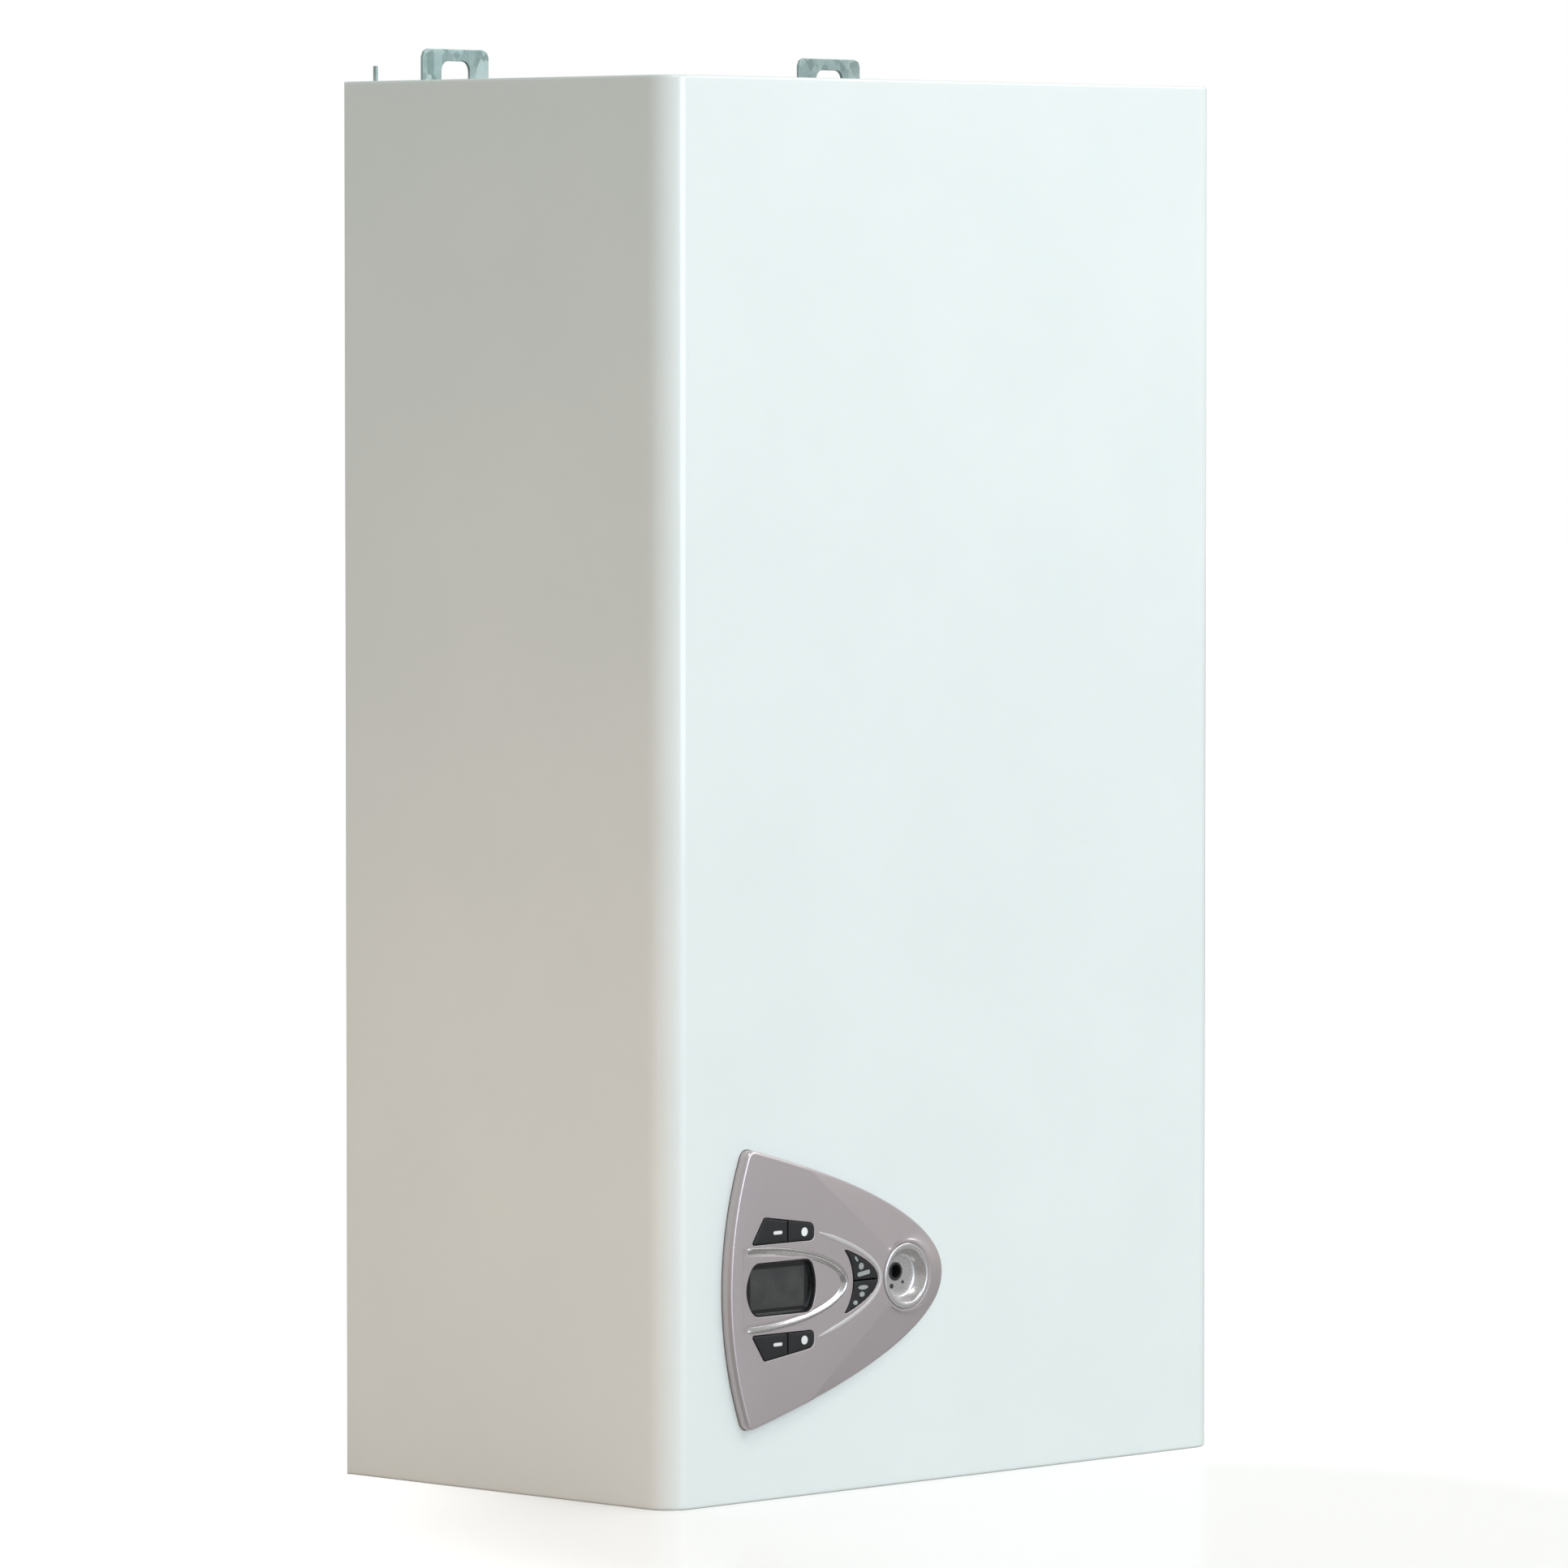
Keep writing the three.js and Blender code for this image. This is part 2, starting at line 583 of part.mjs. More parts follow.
function geometryOf(shape) {
  const mesh = shape.getMesh();
  const positions = new Float32Array(mesh.numVert * 3);
  for (let i = 0; i < mesh.numVert; i++) {
    positions.set(mesh.vertProperties.subarray(i * mesh.numProp, i * mesh.numProp + 3), i * 3);
  }
  const geometry = new THREE.BufferGeometry();
  geometry.setAttribute("position", new THREE.BufferAttribute(positions, 3));
  geometry.setIndex(new THREE.BufferAttribute(mesh.triVerts, 1));
  geometry.computeVertexNormals();
  return geometry;
}

function add(group, name, shape, material) {
  const mesh = new THREE.Mesh(geometryOf(shape), material);
  mesh.name = name;
  group.add(mesh);
  return mesh;
}

function groupAt(parent, x, y, z) {
  const group = new THREE.Group();
  group.position.set(x, y, z);
  parent.add(group);
  return group;
}

// ---------------------------------------------------------------- control panel
// The panel's outline seen from the front, from its nose: a parabola that runs back to two
// tips, closed by a round arc that bulges to the left. The two tips may be cut round.
function panelOutline(tipCut = PANEL_TIP_CUT) {
  const spread = PANEL_TIP / PANEL_HALF_HEIGHT ** 2;
  const bulge = PANEL_LENGTH - PANEL_TIP;
  const radius = (PANEL_HALF_HEIGHT ** 2 + bulge ** 2) / (2 * bulge);
  const centre = radius - PANEL_LENGTH;
  const edge = PANEL_HALF_HEIGHT - tipCut * 0.3;
  const parabola = Array.from({ length: 25 }, (_, i) => {
    const s = i / 12 - 1;
    const v = edge * (0.5 * s + 0.5 * s ** 3);
    return [-spread * v * v, v];
  });
  const swing = Math.asin((PANEL_HALF_HEIGHT - tipCut) / radius);
  const arc = Array.from({ length: 9 }, (_, i) => {
    const angle = swing * (1 - i / 4);
    return [centre - radius * Math.cos(angle), radius * Math.sin(angle)];
  });
  if (tipCut === 0) return [...parabola, ...arc.slice(1, -1)];
  const rounded = new THREE.QuadraticBezierCurve(
    new THREE.Vector2(...parabola.at(-1)),
    new THREE.Vector2(-PANEL_TIP, PANEL_HALF_HEIGHT),
    new THREE.Vector2(...arc[0]),
  );
  const top = [1, 2].map((k) => rounded.getPoint(k / 3)).map((p) => [p.x, p.y]);
  return [...parabola, ...top, ...arc, ...mirrored(top)];
}

// The line where the flat face ends: it keeps a narrow border at the tips, leaves the outline
// where the border starts to spread, runs straight to the bowl and then round the bowl's rim.
function faceOutline(points, narrow) {
  const inner = inset(points, narrow);
  const rim = BOWL_RADIUS + BOWL_SKIRT;
  const from = inner.reduce((best, p) =>
    Math.abs(p[0] + BORDER_START) < Math.abs(best[0] + BORDER_START) ? p : best,
  );
  const [u0, v0] = [from[0], Math.abs(from[1])];
  const turn = (3 * Math.PI) / 4;
  const [u1, v1] = [-BOWL_CENTRE + rim * Math.cos(turn), rim * Math.sin(turn)];
  return inner.map(([u, v], i) => {
    const high = Math.abs(points[i][1]);
    if (u <= u0 || high >= v0 + narrow) return [u, v];
    const t = 1 - high / (v0 + narrow);
    const side = Math.sign(points[i][1]);
    if (t < BORDER_SHARE) {
      const k = t / BORDER_SHARE;
      return [u0 + (u1 - u0) * k, side * (v0 + (v1 - v0) * k)];
    }
    const angle = turn * (1 - (t - BORDER_SHARE) / (1 - BORDER_SHARE));
    return [-BOWL_CENTRE + rim * Math.cos(angle), side * rim * Math.sin(angle)];
  });
}

function displayOutline() {
  const h = DISPLAY_HALF_HEIGHT;
  const right = bulged(-DISPLAY_RIGHT, -h, h, DISPLAY_BULGE_RIGHT);
  const left = bulged(-DISPLAY_LEFT, h, -h, -DISPLAY_BULGE_LEFT);
  return [...right, ...left];
}

// An upright line of points between two levels, bowed sideways in its middle.
function bulged(u, from, to, bow, steps = 6) {
  return Array.from({ length: steps + 1 }, (_, i) => {
    const t = i / steps;
    return [u + 4 * bow * t * (1 - t), from + (to - from) * t];
  });
}

// The half ellipse that the trim follows, from its lower open end round to the upper one.
function arch(reach, halfHeight, steps = 16) {
  return Array.from({ length: steps + 1 }, (_, i) => {
    const angle = -Math.PI / 2 + (Math.PI * i) / steps;
    return [reach * Math.cos(angle) - TRIM_LEFT, halfHeight * Math.sin(angle)];
  });
}

function trimOutline(grow = 0, width = TRIM_WIDTH) {
  const outer = arch(TRIM_REACH + grow, TRIM_HALF_HEIGHT + grow);
  const inner = arch(TRIM_REACH - width - grow, TRIM_HALF_HEIGHT - width - grow);
  outer[0][0] = outer.at(-1)[0] = inner[0][0] = inner.at(-1)[0] = -TRIM_LEFT - grow;
  return [...outer, ...inner.reverse()];
}

function ridgeOutline() {
  const line = (tip) =>
    Array.from({ length: 15 }, (_, i) => {
      const v = RIDGE_HALF_HEIGHT * (i / 7 - 1);
      return [-tip - RIDGE_SPREAD * v * v, v];
    });
  return [...line(RIDGE_TIP), ...line(RIDGE_TIP + RIDGE_WIDTH).reverse()];
}

// The pair of keys over the display; the pair under it is its mirror image.
function keyPairOutline() {
  const slope = (KEY_HIGH - KEY_END) / (KEY_SHOULDER - KEY_RIGHT);
  return [
    [-KEY_LEFT, KEY_LOW],
    [-KEY_RIGHT - 2, KEY_LOW],
    [-KEY_RIGHT, KEY_LOW + 2],
    [-KEY_RIGHT, KEY_END - 2],
    [-KEY_RIGHT - 2, KEY_END + slope * 2],
    [-KEY_SHOULDER + 1.5, KEY_HIGH],
    [-KEY_SHOULDER - 1.5, KEY_HIGH - 0.8],
  ];
}

function crescentOutline() {
  const outer = Array.from({ length: 9 }, (_, i) => {
    const v = CRESCENT_HALF_HEIGHT * (i / 4 - 1);
    return [-CRESCENT_TIP - CRESCENT_SPREAD * v * v, v];
  });
  const inner = Array.from({ length: 7 }, (_, i) => {
    const v = CRESCENT_HALF_HEIGHT * (1 - i / 3) * 0.97;
    const u = Math.sqrt(CRESCENT_RADIUS ** 2 - v * v) - CRESCENT_RADIUS - CRESCENT_HOLLOW;
    return [u, v];
  });
  return [...outer, ...inner];
}

const mirrored = (points) => points.map(([u, v]) => [u, -v]).reverse();

// Each key: its opening's outline, and the box that keeps its share of that outline.
function keyPlan() {
  const pair = keyPairOutline();
  const crescent = crescentOutline();
  const far = PANEL_LENGTH;
  const high = PANEL_HALF_HEIGHT;
  return [
    ["key_water_minus", pair, -far, -KEY_SPLIT - GAP, 0, high],
    ["key_water_plus", pair, -KEY_SPLIT + GAP, 0, 0, high],
    ["key_heating_minus", mirrored(pair), -far, -KEY_SPLIT - GAP, -high, 0],
    ["key_heating_plus", mirrored(pair), -KEY_SPLIT + GAP, 0, -high, 0],
    ["key_mode", crescent, -far, 0, GAP, high],
    ["key_reset", crescent, -far, 0, -high, -GAP],
  ];
}

const centreOf = (shape) => {
  const { min, max } = shape.boundingBox();
  return [(min[0] + max[0]) / 2, (min[2] + max[2]) / 2];
};

// A key cap with the flange that keeps it behind the panel's skin and a stem towards its switch.
function keyCap(hole, left, right, low, high) {
  const share = block(left, right, PANEL_FRONT, SKIN_BACK + KEY_THICK, low, high);
  const cap = facing(outline(inset(hole, GAP)), PANEL_FRONT + GAP / 2, SKIN_BACK + GAP + 1);
  const flange = facing(outline(inset(hole, -KEY_FLANGE)), SKIN_BACK + GAP, SKIN_BACK + GAP + 1);
  const body = join(cap, flange).intersect(share);
  const [u, v] = centreOf(body);
  const stemEnd = BOARD_FRONT - FACE_Y - SWITCH_HEIGHT - KEY_TRAVEL - GAP;
  return join(body, rod(KEY_STEM, stemEnd - SKIN_BACK - GAP, [u, SKIN_BACK + GAP, v], Y_AXIS, 10));
}

// The moulding: side wall, rounded edge, border that slopes up to the flat face. The edge is low
// at the nose and high at the left.
function panelMoulding() {
  const base = panelOutline();
  const sharp = panelOutline(0);
  const flat = ([x, , z]) => [x, z];
  const ring = (points, depth) => points.map(([u, v], i) => [u, depth(i), v]);
  const level = (y) => () => y;
  const edge = (i) => -EDGE_NOSE - (PANEL_EDGE - EDGE_NOSE) * Math.min(1, -base[i][0] / BORDER_START);
  const skin = loft(
    [
      ring(base, level(PANEL_REAR)),
      ring(base, edge),
      ring(inset(base, 0.4), (i) => edge(i) - 0.9),
      ring(inset(base, 1.2), (i) => edge(i) - 1.5),
      ring(faceOutline(base, BORDER_NARROW), level(PANEL_FACE)),
    ],
    flat,
  );
  const hollow = loft(
    [
      ring(inset(sharp, PANEL_WALL), level(PANEL_REAR + 1)),
      ring(inset(sharp, PANEL_WALL), level(PANEL_WALL - EDGE_NOSE)),
      ring(faceOutline(sharp, BORDER_NARROW + PANEL_WALL), level(SKIN_BACK)),
    ],
    flat,
  );
  const through = (points) => facing(outline(points), PANEL_FRONT - 1, SKIN_BACK + 1);
  const openings = [
    through(inset(displayOutline(), -GAP)),
    through(keyPairOutline()),
    through(mirrored(keyPairOutline())),
    through(crescentOutline()),
    facing(disc(BOWL_RADIUS + GAP, 28, -BOWL_CENTRE), PANEL_FRONT - 1, PANEL_REAR + 1),
    facing(outline(trimOutline(GAP)), PANEL_FRONT - 1, PANEL_FACE + TRIM_SEAT + GAP),
  ];
  const ridge = facing(outline(ridgeOutline()), PANEL_FACE - 0.4, PANEL_FACE + 0.5);
  return cut(join(cut(skin, hollow), ridge), ...openings);
}

// The bright ring and the bowl that it frames, with a hole for the service socket.
function socketBowl() {
  const floor = PANEL_FRONT + BOWL_DEPTH;
  const shape = turned(
    [
      [0, -floor],
      [BOWL_FLOOR_RADIUS, -floor],
      [BOWL_RADIUS - BOWL_RIM, PANEL_LAND - 1],
      [BOWL_RADIUS - BOWL_RIM * 0.7, PANEL_PROUD],
      [BOWL_RADIUS - BOWL_RIM * 0.3, PANEL_PROUD],
      [BOWL_RADIUS, PANEL_LAND - 0.6],
      [BOWL_RADIUS, -SKIN_BACK],
      [BOWL_FLOOR_RADIUS + 1, -floor - BOWL_FLOOR],
      [0, -floor - BOWL_FLOOR],
    ],
    [0, 0, 0],
    FORWARD,
    28,
  );
  const hole = rod(
    SOCKET_BORE + SOCKET_WALL + GAP,
    BOWL_DEPTH + BOWL_FLOOR + 2,
    [-SOCKET_LEFT, PANEL_FRONT, SOCKET_UP],
    Y_AXIS,
  );
  return cut(shape, hole);
}

function controlPanel(boiler) {
  const panel = groupAt(boiler, PANEL_X, FACE_Y, PANEL_AXIS);
  add(panel, "control_panel", panelMoulding(), SILVER);
  const window = facing(outline(displayOutline()), WINDOW_FRONT, WINDOW_FRONT + DISPLAY_THICK);
  add(panel, "display_window", window, SMOKED);
  const ring = (points, y) => points.map(([u, v]) => [u, y, v]);
  const foot = ring(trimOutline(), PANEL_FACE + TRIM_SEAT);
  const rise = ring(trimOutline(), PANEL_FACE + TRIM_SEAT - GAP);
  const crest = ring(trimOutline(0, TRIM_CREST), PANEL_FRONT);
  add(panel, "display_trim", loft([foot, rise, crest], ([x, , z]) => [x, z]), CHROME);
  for (const [name, hole, ...share] of keyPlan()) {
    add(panel, name, keyCap(hole, ...share), DARK_RUBBER);
  }
  const bowl = groupAt(panel, -BOWL_CENTRE, 0, 0);
  add(bowl, "socket_bowl", socketBowl(), CHROME);
}

// ---------------------------------------------------------------- control box and board
function controlBox(boiler) {
  const hollow = block(
    BOX_LEFT + BOX_WALL,
    BOX_RIGHT - BOX_WALL,
    BOX_FRONT + BOX_WALL,
    BOX_BACK - BOX_WALL,
    BOX_LOW + BOX_WALL,
    BOX_HIGH - BOX_WALL,
  );
  const shell = cut(block(BOX_LEFT, BOX_RIGHT, BOX_FRONT, BOX_BACK, BOX_LOW, BOX_HIGH), hollow);
  const mouth = inset(panelOutline(0), BOX_LEDGE).map(([u, v]) => [u + PANEL_X, v + PANEL_AXIS]);
  const opening = facing(outline(mouth), BOX_FRONT - 1, BOX_FRONT + BOX_WALL + 1);
  const postStart = BOARD_FRONT + BOARD_THICK + GAP;
  const posts = [BOX_LEFT, BOX_RIGHT].flatMap((x) =>
    [BOX_LOW, BOX_HIGH].map((z) => {
      const inX = x + Math.sign(PANEL_X - PANEL_LENGTH / 2 - x) * (BOARD_EDGE + 2 * POST_RADIUS);
      const inZ = z + Math.sign(PANEL_AXIS - z) * (BOARD_EDGE + 2 * POST_RADIUS);
      return rod(POST_RADIUS, BOX_BACK - 1 - postStart, [inX, postStart, inZ], Y_AXIS, 8);
    }),
  );
  add(boiler, "control_box", join(cut(shell, opening), ...posts), GREY_PLASTIC);
}

function controlBoard(boiler) {
  const board = block(
    BOX_LEFT + BOARD_EDGE,
    BOX_RIGHT - BOARD_EDGE,
    BOARD_FRONT,
    BOARD_FRONT + BOARD_THICK,
    BOX_LOW + BOARD_EDGE,
    BOX_HIGH - BOARD_EDGE,
  );
  const rear = BOARD_FRONT + BOARD_THICK - 0.2;
  const displayBack = FACE_Y + WINDOW_FRONT + DISPLAY_THICK + GAP;
  const half = SWITCH_SIZE / 2;
  const keys = keyPlan().map(([, hole, ...share]) => {
    const [u, v] = centreOf(keyCap(hole, ...share));
    const x = PANEL_X + u;
    const z = PANEL_AXIS + v;
    return block(x - half, x + half, BOARD_FRONT - SWITCH_HEIGHT, BOARD_FRONT + 0.2, z - half, z + half);
  });
  const screen = block(
    PANEL_X - DISPLAY_LEFT,
    PANEL_X - DISPLAY_RIGHT,
    displayBack,
    BOARD_FRONT + 0.2,
    PANEL_AXIS - DISPLAY_HALF_HEIGHT + 1,
    PANEL_AXIS + DISPLAY_HALF_HEIGHT - 1,
  );
  const x0 = BOX_LEFT + 30;
  const transformer = block(x0, x0 + 40, rear, rear + 28, BOX_LOW + 30, BOX_LOW + 62);
  const relays = [0, 1, 2].map((i) =>
    block(x0 + 52 + i * 22, x0 + 68 + i * 22, rear, rear + 16, BOX_LOW + 34, BOX_LOW + 58),
  );
  const capacitors = [0, 1].map((i) => rod(7, 20, [x0 + 8 + i * 20, rear, PANEL_AXIS + 30], Y_AXIS, 10));
  const plugs = [0, 1, 2, 3].map((i) =>
    block(x0 + 40 + i * 20, x0 + 54 + i * 20, rear, rear + 10, BOX_HIGH - 30, BOX_HIGH - 20),
  );
  const socketX = PANEL_X - BOWL_CENTRE - SOCKET_LEFT;
  const socketZ = PANEL_AXIS + SOCKET_UP;
  const mouth = FACE_Y + PANEL_FRONT + BOWL_DEPTH - 0.4;
  const sleeve = rod(SOCKET_BORE + SOCKET_WALL, BOARD_FRONT + 0.2 - mouth, [socketX, mouth, socketZ], Y_AXIS, 20);
  const bore = rod(SOCKET_BORE, SOCKET_DEPTH + 1, [socketX, mouth - 1, socketZ], Y_AXIS, 20);
  const whole = join(board, ...keys, screen, transformer, ...relays, ...capacitors, ...plugs, sleeve);
  add(boiler, "control_board", cut(whole, bore), BOARD_GREEN);
}

// ---------------------------------------------------------------- casing
// The casing's plan: square at the wall, round bends at the two front corners.
function casingPlan(by, rear) {
  const half = HALF_WIDTH - by;
  const front = FACE_Y + by;
  const radius = Math.max(CASE_BEND - by, 0.5);
  const shape = new THREE.Shape();
  shape.moveTo(half, rear);
  shape.lineTo(-half, rear);
  shape.lineTo(-half, front + radius);
  shape.absarc(-half + radius, front + radius, radius, Math.PI, 1.5 * Math.PI);
  shape.absarc(half - radius, front + radius, radius, 1.5 * Math.PI, 2 * Math.PI);
  return shape;
}

function casing(boiler) {
  const outside = upright(casingPlan(0, WALL_Y), 0, CASE_HEIGHT, 8);
  const inside = upright(casingPlan(CASE_SHEET, WALL_Y - CASE_SHEET), CASE_SHEET, CASE_HEIGHT - CASE_SHEET, 8);
  const ends = upright(casingPlan(CASE_FLANGE, WALL_Y + 1), -1, CASE_HEIGHT + 1, 4);
  const mouth = HALF_WIDTH - CASE_RETURN;
  const rear = block(-mouth, mouth, WALL_Y - 2 * CASE_SHEET, WALL_Y + 1, CASE_SHEET, CASE_HEIGHT - CASE_SHEET);
  const panel = inset(panelOutline(), -CUTOUT_GAP).map(([u, v]) => [u + PANEL_X, v + PANEL_AXIS]);
  const cutout = facing(outline(panel), FACE_Y - 1, SHEET_Y + 1);
  add(boiler, "casing", cut(outside, inside, ends, rear, cutout), WHITE_PAINT);
}

// ---------------------------------------------------------------- back frame and lugs
function backFrame(boiler) {
  const h = FRAME_HALF;
  const s = FRAME_SHEET;
  const lip = h - FRAME_LIP;
  const section = outline([
    [-h, WALL_Y],
    [-h, FRAME_FRONT],
    [-lip, FRAME_FRONT],
    [-lip, FRAME_FRONT + s],
    [-h + s, FRAME_FRONT + s],
    [-h + s, WALL_Y - s],
    [h - s, WALL_Y - s],
    [h - s, FRAME_FRONT + s],
    [lip, FRAME_FRONT + s],
    [lip, FRAME_FRONT],
    [h, FRAME_FRONT],
    [h, WALL_Y],
  ]);
  const w = FRAME_WINDOW_HALF;
  const window = (low, high) =>
    facing(roundedRectangle(-w, w, low, high, 12), WALL_Y - s - 1, WALL_Y + 1, 3);
  const tongueFront = FRAME_FRONT + TONGUE_INSET;
  const tongue = block(-h, -h + s, tongueFront, tongueFront + TONGUE_WIDTH, FRAME_TOP - 1, TONGUE_TOP);
  const frame = cut(
    upright(section, 0, FRAME_TOP),
    window(FRAME_RAIL_LOW, FRAME_RAIL_MIDDLE),
    window(FRAME_RAIL_HIGH, FRAME_WINDOW_TOP),
  );
  add(boiler, "back_frame", join(frame, tongue), GALVANISED);
}

// A strap on the front of the frame's top rail, set back to the wall plane over the rail, with
// an eye for the wall hook.
function hangingLug(boiler, name, x) {
  const seat = WALL_Y - FRAME_SHEET - GAP;
  const bend = FRAME_TOP + GAP;
  const profile = outline([
    [seat - LUG_THICK, LUG_FOOT],
    [seat, LUG_FOOT],
    [seat, bend],
    [WALL_Y, bend + LUG_JOGGLE],
    [WALL_Y, LUG_TOP],
    [WALL_Y - LUG_THICK, LUG_TOP],
    [WALL_Y - LUG_THICK, bend + LUG_JOGGLE],
    [seat - LUG_THICK, bend],
  ]);
  const half = LUG_WIDTH / 2;
  const c = LUG_CORNER;
  const front = outline([
    [-half, LUG_FOOT],
    [half, LUG_FOOT],
    [half, LUG_TOP - c],
    [half - c * 0.3, LUG_TOP - c * 0.3],
    [half - c, LUG_TOP],
    [-half + c, LUG_TOP],
    [-half + c * 0.3, LUG_TOP - c * 0.3],
    [-half, LUG_TOP - c],
  ]);
  const eyeTop = LUG_TOP - HOOK_WEB;
  const eye = roundedRectangle(-HOOK_WIDTH / 2, HOOK_WIDTH / 2, eyeTop - HOOK_HEIGHT, eyeTop, HOOK_CORNER);
  const strap = sideways(profile, -half, half).intersect(facing(front, seat - 2 * LUG_THICK, WALL_Y + 1));
  const group = groupAt(boiler, x, 0, 0);
  add(group, name, cut(strap, facing(eye, seat - 2 * LUG_THICK, WALL_Y + 1, 4)), GALVANISED);
}

// ---------------------------------------------------------------- sealed chamber
// The pipes that pass the chamber's floor: place and radius.
const FLOOR_PIPES = [
  [FLOW_RISE_X, tubeY(1), LARGE_PIPE],
  [FLOW_RISE_X, tubeY(0), SMALL_PIPE],
  [RETURN_RISE_X, tubeY(WATER_TUBES - 1), LARGE_PIPE],
  [RETURN_RISE_X, tubeY(0), SMALL_PIPE],
  [UNIT_X, GAS_RISE_Y, GAS_PIPE],
  [VESSEL_X, HOSE_Y, HOSE_RADIUS],
];

function sealedChamber(boiler) {
  const h = FRAME_HALF;
  const t = CHAMBER_SHEET;
  const top = CHAMBER_TOP;
  const outside = block(-h, h, CHAMBER_FRONT, CHAMBER_BACK, CHAMBER_FLOOR, top);
  const inside = block(-h + t, h - t, CHAMBER_FRONT + t, CHAMBER_INNER_BACK, FLOOR_Z, top - t);
  const lip = CHAMBER_LIP;
  const mouth = block(-h + lip, h - lip, CHAMBER_FRONT - 1, CHAMBER_FRONT + t + 1, CHAMBER_FLOOR + lip, top - lip);
  const floorHole = ([x, y, r]) => rod(r + PIPE_HOLE_GAP, 3 * t, [x, y, CHAMBER_FLOOR - t], Z_AXIS);
  const topHole = (x, r) => rod(r, 3 * t, [x, FLUE_Y, top - 2 * t], Z_AXIS, 24);
  const holes = [
    ...FLOOR_PIPES.map(floorHole),
    topHole(0, FLUE_BORE + FLUE_WALL + GAP),
    topHole(-AIR_OFFSET, AIR_RADIUS),
    topHole(AIR_OFFSET, AIR_RADIUS),
  ];
  add(boiler, "sealed_chamber", cut(outside, inside, mouth, ...holes), GALVANISED);
  const seal = (by, grow) =>
    block(-h + by, h - by, GASKET_FRONT - grow, CHAMBER_FRONT - GAP + grow, CHAMBER_FLOOR + by, top - by);
  add(boiler, "chamber_gasket", cut(seal(1, 0), seal(1 + GASKET_WIDTH, 1)), BLACK);
}

function chamberCover(boiler) {
  const h = FRAME_HALF - COVER_EDGE;
  const low = CHAMBER_FLOOR + COVER_EDGE;
  const high = CHAMBER_TOP - COVER_EDGE;
  const front = COVER_BACK - COVER_SHEET;
  const field = COVER_FIELD;
  const raised = front - COVER_EMBOSS;
  const plate = block(-h, h, front, COVER_BACK, low, high);
  const boss = facing(roundedRectangle(-h + field, h - field, low + field, high - field, 20), raised, front + 0.1);
  const f = field + COVER_SHEET;
  const pocket = facing(roundedRectangle(-h + f, h - f, low + f, high - f, 19), raised + COVER_SHEET, COVER_BACK + 1);
  const sightZ = CHAMBER_FLOOR + SIGHT_HEIGHT;
  const hole = rod(SIGHT_RADIUS, 2 * COVER_EMBOSS, [UNIT_X, raised - 1, sightZ], Y_AXIS, 20);
  add(boiler, "chamber_cover", cut(join(plate, boss), pocket, hole), GALVANISED);
  const pane = turned(
    [
      [0, 0],
      [SIGHT_RADIUS + SIGHT_RIM, 0],
      [SIGHT_RADIUS + SIGHT_RIM, SIGHT_THICK],
      [SIGHT_RADIUS, SIGHT_THICK + 1],
      [SIGHT_RADIUS - 1, SIGHT_THICK - 1],
      [0, SIGHT_THICK - 1],
    ],
    [UNIT_X, raised - GAP, sightZ],
    FORWARD,
    24,
  );
  add(boiler, "sight_glass", pane, GLASS);
}

// ---------------------------------------------------------------- combustion unit
function fireBox(boiler) {
  const t = UNIT_SHEET;
  const low = FIRE_Z;
  const high = FIRE_TOP;
  const sightZ = CHAMBER_FLOOR + SIGHT_HEIGHT;
  const sight = rod(SIGHT_RADIUS - 3, LINING_THICK + 4 * t, [UNIT_X, UNIT_FRONT - t, sightZ], Y_AXIS, 16);
  const walls = cut(
    block(UNIT_LEFT, UNIT_RIGHT, UNIT_FRONT, UNIT_BACK, low, high),
    block(UNIT_LEFT + t, UNIT_RIGHT - t, UNIT_FRONT + t, UNIT_BACK - t, low - 1, high + 1),
    sight,
  );
  add(boiler, "combustion_box", walls, STEEL);
  const g = t + GAP;
  const w = g + LINING_THICK;
  const lining = cut(
    block(UNIT_LEFT + g, UNIT_RIGHT - g, UNIT_FRONT + g, UNIT_BACK - g, low + LINING_ROOM, high),
    block(UNIT_LEFT + w, UNIT_RIGHT - w, UNIT_FRONT + w, UNIT_BACK - w, low, high + 1),
    sight,
  );
  add(boiler, "combustion_lining", lining, FIBRE);
}

